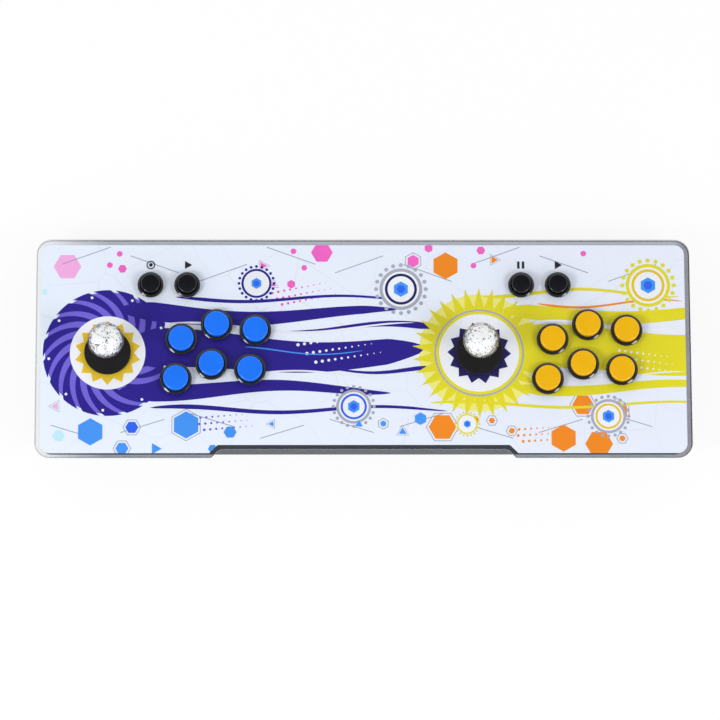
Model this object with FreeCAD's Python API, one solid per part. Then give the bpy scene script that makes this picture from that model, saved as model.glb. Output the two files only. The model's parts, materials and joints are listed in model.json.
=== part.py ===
import FreeCAD, Part

import math
import os

from FreeCAD import Vector

# Two-player arcade joystick panel. Millimetres, +Z up, +X to the player's right, +Y away from the
# player. The origin is on the table, under the middle of the acrylic cover.

# ---- cover and printed film ----
COVER_LENGTH = 660.0
COVER_DEPTH = 226.0
COVER_THICKNESS = 4.0
COVER_CORNER = 15.0
NOTCH_WIDTH = 306.0
NOTCH_DEPTH = 8.4
NOTCH_RADIUS = 8.0
FILM_THICKNESS = 0.3
FILM_MARGIN = 5.0

# ---- case ----
CASE_HEIGHT = 42.8
CASE_SHEET = 1.5
CASE_CORNER = 10.0
SIDE_OVERHANG = 5.0
FRONT_OVERHANG = 5.0
FLANGE_WIDTH = 12.0
BOTTOM_SHEET = 1.2
BOTTOM_INSET = 0.4
FOOT_HEIGHT = 8.0
FOOT_RADIUS = 11.0
FOOT_TAPER = 1.5
FOOT_INSET = 34.0
FOOT_EDGE = 1.0
FOOT_HOLLOW_RADIUS = 5.0
FOOT_HOLLOW_SLOPE = 0.8
VENT_LENGTH = 36.0
VENT_WIDTH = 3.0
VENT_PITCH = 8.0
VENT_COUNT = 9

# ---- fasteners ----
SCREW_RADIUS = 1.5
SCREW_LENGTH = 7.0
SCREW_HEAD_RADIUS = 2.9
SCREW_HEAD_HEIGHT = 1.8
SCREW_CROWN_RADIUS = 1.6
SCREW_RECESS_SPAN = 3.4
SCREW_RECESS_WIDTH = 0.8
SCREW_RECESS_DEPTH = 1.1
BOLT_RADIUS = 2.0
BOLT_LENGTH = 8.0
BOLT_HEAD_RADIUS = 3.6
NUT_HEIGHT = 3.2
NUT_RADIUS = 4.0
THREAD_CLEARANCE = 0.05

# ---- push buttons ----
ACTION_RIM_RADIUS = 16.2
ACTION_BODY_RADIUS = 14.8
ACTION_NUT_RADIUS = 18.0
MENU_RIM_RADIUS = 13.7
MENU_BODY_RADIUS = 11.8
MENU_NUT_RADIUS = 14.6
RIM_HEIGHT = 3.0
RIM_CREST = 2.2
RIM_STRAIGHT = 0.6
RIM_FALL = 0.7
BODY_WALL = 0.9
BODY_CHAMFER = 1.0
BODY_DEPTH = 22.0
BODY_FLOOR = 1.6
LIP_STEP = 0.5
LIP_HEIGHT = 4.0
PLUNGER_RISE = 8.0
PLUNGER_WALL = 1.6
PLUNGER_EDGE = 1.5
PLUNGER_FLANGE = 2.0
PLUNGER_DISH = 0.35
PLUNGER_DISH_RADIUS = 6.0
STEM_RADIUS = 3.2
TIP_RADIUS = 1.2
BUTTON_TRAVEL = 2.5
SLIDE_CLEARANCE = 0.25
PANEL_CLEARANCE = 0.2
BUTTON_NUT_HEIGHT = 4.5
BUTTON_NUT_CORNER = 1.4
SWITCH_LENGTH = 17.0
SWITCH_WIDTH = 6.4
SWITCH_HEIGHT = 9.0
CHEEK_LENGTH = 10.2
CHEEK_THICKNESS = 1.5
CHEEK_DEPTH = 5.0
BLADE_LENGTH = 4.5
BLADE_WIDTH = 3.0
BLADE_THICKNESS = 0.6

# ---- where the controls stand, each player's stick first ----
LEFT_STICK_X = -257.6
RIGHT_STICK_X = 116.6
STICK_Y = -4.4
FIRST_COLUMN_X = 74.0
FIRST_COLUMN_Y = 13.0
SECOND_COLUMN_X = 109.7
SECOND_COLUMN_Y = 28.0
THIRD_COLUMN_X = 148.6
THIRD_COLUMN_Y = 22.3
LOWER_ROW_LEAN = 5.3
LOWER_ROW_DROP = 40.9
MENU_X = 42.8
MENU_Y = 69.6
MENU_PITCH = 37.0

# ---- joysticks ----
STICK_HOLE_RADIUS = 12.5
TILT_DEGREES = 8.0
BALL_RADIUS = 18.0
BALL_HEIGHT = 48.0
BALL_FLAT_RADIUS = 7.5
INSERT_RADIUS = 5.4
INSERT_LENGTH = 18.0
STUD_RADIUS = 3.0
STUD_LENGTH = 14.0
STUD_CHAMFER = 0.6
SHAFT_RADIUS = 4.75
NECK_RADIUS = 4.0
FIT = 0.05
COLLAR_RADIUS = 6.2
COLLAR_HEIGHT = 0.9
WASHER_RADIUS = 23.5
WASHER_THICKNESS = 1.2
WASHER_EDGE = 0.8
WASHER_CLEARANCE = 0.5
LOWER_WASHER_RADIUS = 14.0
LOWER_WASHER_THICKNESS = 1.0
PLATE_LENGTH = 97.0
PLATE_WIDTH = 53.0
PLATE_THICKNESS = 1.6
PLATE_BOLT_X = 18.0
PLATE_BOLT_Y = 42.0
PLATE_HOLE_RADIUS = 11.0
PIVOT_DROP = 6.9
PIVOT_RADIUS = 10.0
PIVOT_TOP = 2.5
PIVOT_BOTTOM = 7.0
PIVOT_BORE_SLACK = 0.5
SEAT_CLEARANCE = 0.2
SEAT_MOUTH_RADIUS = 7.5
SEAT_WEB = 2.0
SKIRT_WALL = 1.8
HOUSING_SQUARE = 54.0
HOUSING_TOP_SQUARE = 44.0
HOUSING_CORNER = 4.0
HOUSING_FLANGE = 2.5
HOUSING_SCREW = 17.5
CROWN_WALL = 1.6
CROWN_FLOOR = 2.4
CROWN_TAPER = 2.0
RIB_THICKNESS = 2.4
RIB_INSET = 3.0
OVERLAP = 0.8
SPRING_RADIUS = 7.0
SPRING_WIRE = 0.6
SPRING_TURNS = 4
SPRING_STEPS = 12
SPRING_PITCH_WIRES = 4
STACK_GAP = 0.3
ACTUATOR_FLANGE_RADIUS = 9.0
ACTUATOR_FLANGE_HEIGHT = 1.5
ACTUATOR_RADIUS = 6.5
ACTUATOR_HEIGHT = 10.4
ACTUATOR_SLOPE = 1.0
ACTUATOR_CHAMFER = 0.5
CLIP_RADIUS = 5.4
CLIP_THICKNESS = 0.8
CLIP_MOUTH = 4.9
CLIP_GROOVE = 1.0
SHAFT_TAIL = 1.0
BOARD_THICKNESS = 1.6
STICK_SWITCH_LENGTH = 12.8
STICK_SWITCH_DEPTH = 5.8
STICK_SWITCH_HEIGHT = 6.4
STICK_SWITCH_PIN = 0.6
STICK_SWITCH_PIN_RADIUS = 1.2
STICK_HEADER_LENGTH = 14.0
STICK_HEADER_HEIGHT = 6.4
STICK_HEADER_INSET = 9.0
GATE_SQUARE = 60.0
GATE_THICKNESS = 2.5
GATE_CLEARANCE = 0.3
GATE_LEG_WIDTH = 12.0
GATE_LEG_THICKNESS = 1.8
GATE_HOOK = 1.2
GATE_HOOK_RISE = 2.0
GATE_CORNER = 1.0

# ---- game board and rear panel ----
BOARD_LENGTH = 150.0
BOARD_DEPTH = 88.0
BOARD_BACK_GAP = 2.0
STANDOFF_HEIGHT = 6.0
STANDOFF_RADIUS = 3.0
STANDOFF_INSET = 6.0
STANDOFF_FLANGE_GAP = 1.5
CHIP_SIDE = 30.0
CHIP_HEIGHT = 2.4
CHIP_SETBACK = 11.0
HEAT_SINK_SIDE = 40.0
HEAT_SINK_BASE = 2.5
HEAT_SINK_HEIGHT = 12.0
HEAT_SINK_FIN = 1.4
HEAT_SINK_FINS = 9
MEMORY_LENGTH = 12.0
MEMORY_WIDTH = 9.0
MEMORY_HEIGHT = 1.1
MEMORY_PITCH = 13.0
MEMORY_COUNT = 4
HEADER_LENGTH = 40.0
HEADER_DEPTH = 6.0
HEADER_HEIGHT = 8.0
HEADER_WALL = 0.9
HDMI_X = -42.0
HDMI_WIDTH = 15.0
HDMI_HEIGHT = 5.6
HDMI_DEPTH = 12.0
HDMI_TONGUE = 1.0
VGA_X = -8.0
VGA_FLANGE_LENGTH = 30.8
VGA_FLANGE_HEIGHT = 12.4
VGA_FLANGE = 1.0
VGA_BODY_LENGTH = 27.8
VGA_BODY_HEIGHT = 11.2
VGA_SHELL_LENGTH = 17.0
VGA_SHELL_HEIGHT = 8.2
VGA_SHELL_SLOPE = 1.5
VGA_SHELL_CORNER = 1.6
VGA_DEPTH = 9.0
VGA_REACH = 4.2
VGA_SCREW_PITCH = 25.0
VGA_SCREW_RADIUS = 2.4
VGA_HOLE_CORNER = 2.0
USB_X = 28.0
USB_PITCH = 22.0
USB_WIDTH = 14.4
USB_HEIGHT = 7.0
USB_DEPTH = 14.0
USB_TONGUE = 1.9
TONGUE_WIDTH_SHARE = 0.76
TONGUE_SETBACK = 1.0
PORT_WALL = 0.5
PORT_CLEARANCE = 0.4
PORT_REACH = 0.6
INLET_X = -82.0
INLET_RADIUS = 4.0
INLET_FLANGE_RADIUS = 6.5
INLET_FLANGE = 1.4
INLET_DEPTH = 14.0
INLET_FLOOR = 3.0
INLET_BORE = 3.1
INLET_PIN = 1.0
INLET_NUT = 2.2
INLET_NUT_RADIUS = 5.5
ROCKER_X = -112.0
ROCKER_BEZEL_LENGTH = 21.0
ROCKER_BEZEL_HEIGHT = 15.0
ROCKER_BEZEL = 2.0
ROCKER_BEZEL_EDGE = 0.8
ROCKER_BODY_LENGTH = 18.6
ROCKER_BODY_HEIGHT = 12.6
ROCKER_BODY_DEPTH = 13.0
ROCKER_WALL = 1.1
ROCKER_FLOOR = 2.0
ROCKER_BLADE_PITCH = 5.0
ROCKER_BLADE_WIDTH = 4.2
ROCKER_CLEARANCE = 0.3
ROCKER_TILT = 11.0
ROCKER_PIVOT_DEPTH = 5.0
ROCKER_RISE = 3.4
ROCKER_ROOT = 2.0
ROCKER_DISH_RADIUS = 81.0
ROCKER_DISH = 0.9

# How far a cutter runs past the face it opens.
PASS = 1.0

# ---- heights and lines that follow from the sizes above ----
PLATE_BASE = FOOT_HEIGHT
SHELL_BASE = FOOT_HEIGHT + BOTTOM_SHEET
DECK_TOP = SHELL_BASE + CASE_HEIGHT
DECK_BASE = DECK_TOP - CASE_SHEET
COVER_BASE = DECK_TOP + FILM_THICKNESS
COVER_TOP = COVER_BASE + COVER_THICKNESS
BALL_CENTRE = COVER_TOP + BALL_HEIGHT
HALF_LENGTH = COVER_LENGTH / 2
HALF_DEPTH = COVER_DEPTH / 2
CASE_HALF_LENGTH = HALF_LENGTH - SIDE_OVERHANG
CASE_BACK = HALF_DEPTH - SIDE_OVERHANG
CASE_FRONT = -HALF_DEPTH + NOTCH_DEPTH + FRONT_OVERHANG
CASE_DEPTH = CASE_BACK - CASE_FRONT
CASE_MIDDLE_Y = (CASE_BACK + CASE_FRONT) / 2
PORT_MIDDLE_Z = (SHELL_BASE + DECK_BASE) / 2
TILT = math.radians(TILT_DEGREES)

HOUSING_TOP = DECK_BASE - PLATE_THICKNESS
PIVOT_Z = HOUSING_TOP - PIVOT_DROP
SEAT_RADIUS = PIVOT_RADIUS + SEAT_CLEARANCE
SEAT_FLOOR = PIVOT_Z - math.sqrt(SEAT_RADIUS**2 - SEAT_MOUTH_RADIUS**2)
WEB_BASE = SEAT_FLOOR - SEAT_WEB
WASHER_REACH = COVER_TOP + WASHER_THICKNESS / 2 - PIVOT_Z
WASHER_SHIFT = WASHER_REACH * TILT
RECESS_DEPTH = LOWER_WASHER_THICKNESS + 2 * STACK_GAP
RECESS_RADIUS = LOWER_WASHER_RADIUS + WASHER_SHIFT + STACK_GAP
SPRING_ROOM = SPRING_TURNS * SPRING_PITCH_WIRES * SPRING_WIRE
SKIRT_BASE = PIVOT_Z - PIVOT_BOTTOM - SEAT_WEB - SPRING_ROOM
SWITCH_BOARD_TOP = SKIRT_BASE
SWITCH_BOARD_BASE = SWITCH_BOARD_TOP - BOARD_THICKNESS
GATE_TOP = SWITCH_BOARD_BASE - STICK_SWITCH_HEIGHT - STACK_GAP
GATE_BASE = GATE_TOP - GATE_THICKNESS
ACTUATOR_TOP = SWITCH_BOARD_TOP - STACK_GAP
ACTUATOR_BASE = ACTUATOR_TOP - ACTUATOR_HEIGHT
ACTUATOR_SWING = math.sqrt(2) * (PIVOT_Z - ACTUATOR_TOP) * math.tan(TILT)
SKIRT_RADIUS = ACTUATOR_FLANGE_RADIUS + ACTUATOR_SWING + GATE_CLEARANCE
BARREL_RADIUS = SKIRT_RADIUS + SKIRT_WALL
BOARD_HOLE_RADIUS = SKIRT_RADIUS + GATE_CLEARANCE
SWITCH_CENTRE_Z = SWITCH_BOARD_BASE - STICK_SWITCH_HEIGHT / 2
SWITCH_FACE = (ACTUATOR_RADIUS + (PIVOT_Z - GATE_TOP) * math.tan(TILT)) / math.cos(TILT) + GATE_CLEARANCE
GATE_OPENING = (ACTUATOR_RADIUS + (PIVOT_Z - GATE_BASE) * math.tan(TILT)) / math.cos(TILT) + GATE_CLEARANCE

BOARD_BASE = SHELL_BASE + STANDOFF_HEIGHT
BOARD_TOP = BOARD_BASE + BOARD_THICKNESS
BOARD_BACK = CASE_BACK - CASE_SHEET - BOARD_BACK_GAP
BOARD_FRONT = BOARD_BACK - BOARD_DEPTH
BOARD_MIDDLE_Y = (BOARD_BACK + BOARD_FRONT) / 2
VGA_Z = BOARD_TOP + VGA_FLANGE_HEIGHT / 2

UP = Vector(0, 0, 1)
BACKWARDS = Vector(0, 1, 0)


class Profile:
    """An outline in the plane of radius and height, turned round the vertical axis."""

    def __init__(self, radius, height):
        self.start = Vector(radius, 0, height)
        self.point = self.start
        self.edges = []

    def line(self, radius, height):
        """Goes straight on to a point."""
        end = Vector(radius, 0, height)
        if (end - self.point).Length > 1e-6:
            self.edges.append(Part.makeLine(self.point, end))
        self.point = end
        return self

    def arc(self, mid_radius, mid_height, radius, height):
        """Goes on along an arc through a middle point."""
        end = Vector(radius, 0, height)
        middle = Vector(mid_radius, 0, mid_height)
        self.edges.append(Part.Arc(self.point, middle, end).toShape())
        self.point = end
        return self

    def eased(self, corner_radius, corner_height, radius, height):
        """Rounds a fine corner in two straight steps, on to a point."""
        corner = Vector(corner_radius, 0, corner_height)
        middle = (self.point + corner * 2 + Vector(radius, 0, height)) / 4
        return self.line(middle.x, middle.z).line(radius, height)

    def turned(self):
        """Closes the outline and turns it into a solid."""
        self.line(self.start.x, self.start.z)
        face = Part.Face(Part.Wire(self.edges))
        solid = face.revolve(Vector(0, 0, 0), UP, 360)
        return solid if solid.Volume > 0 else solid.reversed()


def moved(shape, x=0.0, y=0.0, z=0.0):
    """A copy of the shape, shifted."""
    copy = shape.copy()
    copy.translate(Vector(x, y, z))
    return copy


def turned(shape, degrees, axis=UP, centre=Vector(0, 0, 0)):
    """A copy of the shape, turned about an axis through the centre."""
    copy = shape.copy()
    copy.rotate(centre, axis, degrees)
    return copy


def disc(radius, base, top, x=0.0, y=0.0):
    """An upright cylinder between two heights."""
    return Part.makeCylinder(radius, top - base, Vector(x, y, base), UP)


def ring(outer, inner, base, top, x=0.0, y=0.0):
    """An upright tube between two heights."""
    return disc(outer, base, top, x, y).cut(disc(inner, base - PASS, top + PASS, x, y))


def block(length, depth, base, top, x=0.0, y=0.0):
    """A box centred on x and y, between two heights."""
    corner = Vector(x - length / 2, y - depth / 2, base)
    return Part.makeBox(length, depth, top - base, corner)


def rounded_block(length, depth, corner, base, top, x=0.0, y=0.0):
    """A box with rounded upright edges."""
    box = block(length, depth, base, top, x, y)
    upright = [edge for edge in box.Edges if abs(edge.tangentAt(edge.FirstParameter).z) > 0.9]
    return box.makeFillet(corner, upright)


def hexagon(corner_radius, base, top):
    """A six-sided prism."""
    angles = [math.radians(60 * n) for n in range(7)]
    corners = [Vector(corner_radius * math.cos(a), corner_radius * math.sin(a), base) for a in angles]
    return Part.Face(Part.makePolygon(corners)).extrude(Vector(0, 0, top - base))


def fused(shapes):
    """One solid made of shapes that touch or overlap."""
    first, *rest = shapes
    return first.fuse(rest).removeSplitter()


def rear_cylinder(radius, start, end, x, z):
    """A cylinder through the back wall, between two lines."""
    return Part.makeCylinder(radius, end - start, Vector(x, start, z), BACKWARDS)


def rear_box(length, height, start, end, x, z):
    """A box along the back wall, between two lines, centred on x and z."""
    return Part.makeBox(length, end - start, height, Vector(x - length / 2, start, z - height / 2))


def write(node, *solids):
    """Writes one node's solids to its own file."""
    shape = solids[0] if len(solids) == 1 else Part.makeCompound(list(solids))
    shape.exportStep(f"parts/{node}.step")


# ---- where things stand ----

def stick_centres():
    """The two sticks' centres, with the name of each player's side."""
    return [("left", Vector(LEFT_STICK_X, STICK_Y, 0)), ("right", Vector(RIGHT_STICK_X, STICK_Y, 0))]


def action_offsets():
    """The six action buttons' centres from their stick, the upper row first."""
    first = Vector(FIRST_COLUMN_X, FIRST_COLUMN_Y, 0)
    second = Vector(SECOND_COLUMN_X, SECOND_COLUMN_Y, 0)
    third = Vector(THIRD_COLUMN_X, THIRD_COLUMN_Y, 0)
    to_lower_row = Vector(-LOWER_ROW_LEAN, -LOWER_ROW_DROP, 0)
    upper = [first, second, third]
    return upper + [centre + to_lower_row for centre in upper]


def menu_offsets():
    """The two menu buttons' centres from their stick."""
    return [Vector(MENU_X + n * MENU_PITCH, MENU_Y, 0) for n in range(2)]


def plate_bolt_places():
    """The stick plate's bolt holes, from the stick's centre."""
    return [Vector(sx * PLATE_BOLT_X, sy * PLATE_BOLT_Y, 0) for sx in (-1, 1) for sy in (-1, 1)]


def flange_screw_places():
    """The screws that hold the bottom plate to the case's bottom flange."""
    x_reach = CASE_HALF_LENGTH - FLANGE_WIDTH / 2 - CASE_SHEET / 2
    front = CASE_FRONT + FLANGE_WIDTH / 2 + CASE_SHEET / 2
    back = CASE_BACK - FLANGE_WIDTH / 2 - CASE_SHEET / 2
    columns = [x_reach * share for share in (-0.92, -0.46, 0.0, 0.46, 0.92)]
    return [Vector(x, y, 0) for y in (front, back) for x in columns]


def standoff_places():
    """The game board's four standoffs."""
    x_reach = BOARD_LENGTH / 2 - STANDOFF_INSET
    y_inset = FLANGE_WIDTH - CASE_SHEET - BOARD_BACK_GAP + STANDOFF_RADIUS + STANDOFF_FLANGE_GAP
    y_reach = BOARD_DEPTH / 2 - y_inset
    return [Vector(sx * x_reach, BOARD_MIDDLE_Y + sy * y_reach, 0) for sx in (-1, 1) for sy in (-1, 1)]


def panel_holes(base, top):
    """Cutters for every control that goes down through the cover, film and deck."""
    holes = []
    for _, centre in stick_centres():
        holes.append(disc(STICK_HOLE_RADIUS, base, top, centre.x, centre.y))
        for offset in action_offsets():
            spot = centre + offset
            holes.append(disc(ACTION_BODY_RADIUS + PANEL_CLEARANCE, base, top, spot.x, spot.y))
        for offset in menu_offsets():
            spot = centre + offset
            holes.append(disc(MENU_BODY_RADIUS + PANEL_CLEARANCE, base, top, spot.x, spot.y))
    return holes


# ---- cover, film and case ----

def notched_outline(inset, height):
    """The cover's outline moved inwards, with the notch along its front edge."""
    half_x = HALF_LENGTH - inset
    half_y = HALF_DEPTH - inset
    corner = COVER_CORNER - inset
    notch_top = -half_y + NOTCH_DEPTH
    notch_foot = NOTCH_WIDTH / 2 + inset * math.tan(math.radians(22.5))
    notch_head = notch_foot - NOTCH_DEPTH
    bend = (NOTCH_RADIUS - inset) * math.tan(math.radians(22.5))
    sag = corner * (1 - math.cos(math.radians(45)))
    leg = bend * math.cos(math.radians(45))

    def line(a, b):
        return Part.makeLine(Vector(a[0], a[1], height), Vector(b[0], b[1], height))

    def arc(a, m, b):
        return Part.Arc(*(Vector(p[0], p[1], height) for p in (a, m, b))).toShape()

    def half(side):
        foot = (side * notch_foot, -half_y)
        before = (side * (notch_head + leg), notch_top - leg)
        after = (side * (notch_head - bend), notch_top)
        radius = bend / math.tan(math.radians(22.5))
        reach = radius * math.sin(math.radians(22.5))
        drop = radius * (1 - math.cos(math.radians(22.5)))
        middle = (side * (notch_head - bend + reach), notch_top - drop)
        front = (side * (half_x - corner), -half_y)
        side_front = (side * half_x, -half_y + corner)
        side_back = (side * half_x, half_y - corner)
        back = (side * (half_x - corner), half_y)
        return [
            line((0, notch_top), after), arc(after, middle, before), line(before, foot), line(foot, front),
            arc(front, (side * (half_x - sag), -half_y + sag), side_front), line(side_front, side_back),
            arc(side_back, (side * (half_x - sag), half_y - sag), back), line(back, (0, half_y)),
        ]

    edges = half(1) + list(reversed(half(-1)))
    return Part.Face(Part.Wire(Part.__sortEdges__(edges)))


def acrylic_cover():
    """The clear sheet that the buttons clamp over the print."""
    sheet = notched_outline(0.0, COVER_BASE).extrude(Vector(0, 0, COVER_THICKNESS))
    return sheet.cut(panel_holes(COVER_BASE - PASS, COVER_TOP + PASS))


def printed_film():
    """The print's own film, a margin smaller than the cover all round."""
    sheet = notched_outline(FILM_MARGIN, DECK_TOP).extrude(Vector(0, 0, FILM_THICKNESS))
    return sheet.cut(panel_holes(DECK_TOP - PASS, COVER_BASE + PASS))


def case_block(inset, base, top):
    """The case's outer form, moved inwards, between two heights."""
    length = 2 * (CASE_HALF_LENGTH - inset)
    depth = CASE_DEPTH - 2 * inset
    corner = max(CASE_CORNER - inset, CASE_SHEET)
    return rounded_block(length, depth, corner, base, top, 0.0, CASE_MIDDLE_Y)


def rear_cutter(length, height, x, z, corner=0.0):
    """A slot through the back wall, centred on x and z, its corners rounded if asked."""
    reach = 2 * CASE_SHEET
    box = rear_box(length, height, CASE_BACK - reach, CASE_BACK + reach, x, z)
    along = [edge for edge in box.Edges if abs(edge.tangentAt(edge.FirstParameter).y) > 0.9]
    return box.makeFillet(corner, along) if corner else box


def usb_centres():
    """The two USB sockets' middles along the back wall."""
    return [USB_X + n * USB_PITCH for n in range(2)]


def vga_screw_columns():
    """The middles of the VGA socket's two posts along the back wall."""
    return [VGA_X + side * VGA_SCREW_PITCH / 2 for side in (-1, 1)]


def rear_openings():
    """Cutters for the sockets and the switch in the back wall."""
    slack = 2 * PORT_CLEARANCE
    start = CASE_BACK - 2 * CASE_SHEET
    end = CASE_BACK + 2 * CASE_SHEET
    hdmi = rear_cutter(HDMI_WIDTH + slack, HDMI_HEIGHT + slack, HDMI_X, BOARD_TOP + HDMI_HEIGHT / 2)
    vga = rear_cutter(VGA_SHELL_LENGTH + slack, VGA_SHELL_HEIGHT + slack, VGA_X, VGA_Z, VGA_HOLE_CORNER)
    screw = VGA_SCREW_RADIUS + PORT_CLEARANCE
    screws = [rear_cylinder(screw, start, end, x, VGA_Z) for x in vga_screw_columns()]
    usb_z = BOARD_TOP + USB_HEIGHT / 2
    usb = [rear_cutter(USB_WIDTH + slack, USB_HEIGHT + slack, x, usb_z) for x in usb_centres()]
    inlet = rear_cylinder(INLET_RADIUS + FIT, start, end, INLET_X, PORT_MIDDLE_Z)
    rocker_length = ROCKER_BODY_LENGTH + 2 * FIT
    rocker = rear_cutter(rocker_length, ROCKER_BODY_HEIGHT + 2 * FIT, ROCKER_X, PORT_MIDDLE_Z)
    return [hdmi, vga, *screws, *usb, inlet, rocker]


def case_shell():
    """Deck, four walls and the bottom return flange, bent from one sheet."""
    outer = case_block(0.0, SHELL_BASE, DECK_TOP)
    rim = [edge for edge in outer.Edges if min(v.Z for v in edge.Vertexes) > DECK_TOP - 1e-3]
    outer = outer.makeFillet(CASE_SHEET, rim)
    inner = case_block(CASE_SHEET, SHELL_BASE + CASE_SHEET, DECK_BASE)
    mouth = case_block(FLANGE_WIDTH, SHELL_BASE - PASS, SHELL_BASE + 2 * CASE_SHEET)
    shell = outer.cut([inner, mouth])
    cuts = panel_holes(DECK_BASE - PASS, DECK_TOP + PASS) + rear_openings()
    for _, centre in stick_centres():
        for place in plate_bolt_places():
            spot = centre + place
            cuts.append(bolt_cutter(spot))
    for place in flange_screw_places():
        hole = SCREW_RADIUS + THREAD_CLEARANCE
        cuts.append(disc(hole, SHELL_BASE - PASS, SHELL_BASE + 2 * CASE_SHEET, place.x, place.y))
    return shell.cut(cuts)


def vent_rows():
    """Slots under the game board that let its warm air move."""
    slots = []
    slot = block(VENT_WIDTH, VENT_LENGTH - VENT_WIDTH, PLATE_BASE - PASS, SHELL_BASE + PASS)
    for side in (-1, 1):
        end = side * (VENT_LENGTH - VENT_WIDTH) / 2
        slot = slot.fuse(disc(VENT_WIDTH / 2, PLATE_BASE - PASS, SHELL_BASE + PASS, 0, end))
    for row in (-1, 1):
        y = BOARD_MIDDLE_Y + row * (VENT_LENGTH / 2 + VENT_WIDTH)
        for n in range(VENT_COUNT):
            slots.append(moved(slot, (n - (VENT_COUNT - 1) / 2) * VENT_PITCH, y))
    return slots


def bottom_plate():
    """The flat lid under the case."""
    plate = case_block(BOTTOM_INSET, PLATE_BASE, SHELL_BASE)
    cuts = vent_rows()
    hole = SCREW_RADIUS + THREAD_CLEARANCE
    for place in flange_screw_places() + standoff_places():
        cuts.append(disc(hole, PLATE_BASE - PASS, SHELL_BASE + PASS, place.x, place.y))
    return plate.cut(cuts)


def rubber_feet():
    """Four tapered feet with a shallow hollow in the sole."""
    x_reach = CASE_HALF_LENGTH - FOOT_INSET
    y_reach = CASE_DEPTH / 2 - FOOT_INSET
    sole = FOOT_RADIUS - FOOT_TAPER
    foot = (
        Profile(0, FOOT_EDGE).line(FOOT_HOLLOW_RADIUS, FOOT_EDGE)
        .line(FOOT_HOLLOW_RADIUS + FOOT_HOLLOW_SLOPE, 0).line(sole - FOOT_EDGE, 0)
        .eased(sole, 0, sole, FOOT_EDGE).line(FOOT_RADIUS, FOOT_HEIGHT).line(0, FOOT_HEIGHT).turned()
    )
    return [moved(foot, sx * x_reach, CASE_MIDDLE_Y + sy * y_reach) for sx in (-1, 1) for sy in (-1, 1)]


def pan_screw():
    """A pan-head screw with a cross recess, its head's seat at height zero and its shank upwards."""
    head = (
        Profile(0, -SCREW_HEAD_HEIGHT).line(SCREW_CROWN_RADIUS, -SCREW_HEAD_HEIGHT)
        .eased(SCREW_HEAD_RADIUS, -SCREW_HEAD_HEIGHT, SCREW_HEAD_RADIUS, 0)
        .line(SCREW_RADIUS, 0).line(SCREW_RADIUS, SCREW_LENGTH).line(0, SCREW_LENGTH).turned()
    )
    floor = SCREW_RECESS_DEPTH - SCREW_HEAD_HEIGHT
    cross = [
        block(SCREW_RECESS_SPAN, SCREW_RECESS_WIDTH, -SCREW_HEAD_HEIGHT - PASS, floor),
        block(SCREW_RECESS_WIDTH, SCREW_RECESS_SPAN, -SCREW_HEAD_HEIGHT - PASS, floor),
    ]
    return head.cut(cross)


def bottom_screws():
    """The screws through the bottom plate, into the flange and the standoffs."""
    screw = pan_screw()
    places = flange_screw_places() + standoff_places()
    return [moved(screw, place.x, place.y, PLATE_BASE) for place in places]


# ---- push buttons ----

def button_sizes(body_radius):
    """Bore, lip and plunger radii inside a button body."""
    bore = body_radius - BODY_WALL
    lip = bore - LIP_STEP
    return bore, lip, lip - SLIDE_CLEARANCE


def button_bezel(rim_radius, body_radius):
    """The rim and threaded body of a button, with clips for its switch."""
    bore, lip, _ = button_sizes(body_radius)
    crest = rim_radius - RIM_CREST
    top = COVER_TOP + RIM_HEIGHT
    floor = COVER_TOP - BODY_DEPTH
    guide = STEM_RADIUS + SLIDE_CLEARANCE
    bezel = (
        Profile(body_radius, COVER_TOP).line(rim_radius, COVER_TOP).line(rim_radius, COVER_TOP + RIM_STRAIGHT)
        .eased(rim_radius, top, crest, top).line(lip, top - RIM_FALL)
        .line(lip, top - LIP_HEIGHT).line(bore, top - LIP_HEIGHT - LIP_STEP).line(bore, floor + BODY_FLOOR)
        .line(guide, floor + BODY_FLOOR).line(guide, floor).line(body_radius - BODY_CHAMFER, floor)
        .line(body_radius, floor + BODY_CHAMFER).turned()
    )
    spread = SWITCH_WIDTH / 2 + FIT + CHEEK_THICKNESS / 2
    cheeks = [
        block(CHEEK_LENGTH, CHEEK_THICKNESS, floor - CHEEK_DEPTH, floor + BODY_FLOOR / 2, 0, side * spread)
        for side in (-1, 1)
    ]
    return fused([bezel, *cheeks])


def button_plunger(body_radius):
    """The cap that is pressed, with a flange under the lip and a stem down to the switch."""
    bore, _, radius = button_sizes(body_radius)
    top = COVER_TOP + PLUNGER_RISE
    flange_top = COVER_TOP + RIM_HEIGHT - LIP_HEIGHT - LIP_STEP - FIT
    flange_base = flange_top - LIP_STEP - PLUNGER_FLANGE
    flange = bore - SLIDE_CLEARANCE
    inner = radius - PLUNGER_WALL
    ceiling = top - 2 * PLUNGER_WALL
    switch_top = COVER_TOP - BODY_DEPTH
    tip = switch_top - TIP_RADIUS
    stem_end = switch_top + BUTTON_TRAVEL + STACK_GAP
    return (
        Profile(0, top - PLUNGER_DISH).line(PLUNGER_DISH_RADIUS, top - PLUNGER_DISH)
        .line(radius - PLUNGER_EDGE, top).eased(radius, top, radius, top - PLUNGER_EDGE)
        .line(radius, flange_top).line(flange, flange_top - LIP_STEP)
        .line(flange, flange_base).line(inner, flange_base)
        .line(inner, ceiling).line(STEM_RADIUS, ceiling).line(STEM_RADIUS, stem_end)
        .line(TIP_RADIUS, stem_end).line(TIP_RADIUS, tip).line(0, tip).turned()
    )


def button_nut(body_radius, nut_radius):
    """A six-sided nut with its corners turned off, under the deck."""
    base = DECK_BASE - BUTTON_NUT_HEIGHT
    blank = hexagon(nut_radius + BUTTON_NUT_CORNER, base, DECK_BASE).common(disc(nut_radius, base, DECK_BASE))
    return blank.cut(disc(body_radius + FIT, base - PASS, DECK_BASE + PASS))


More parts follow.
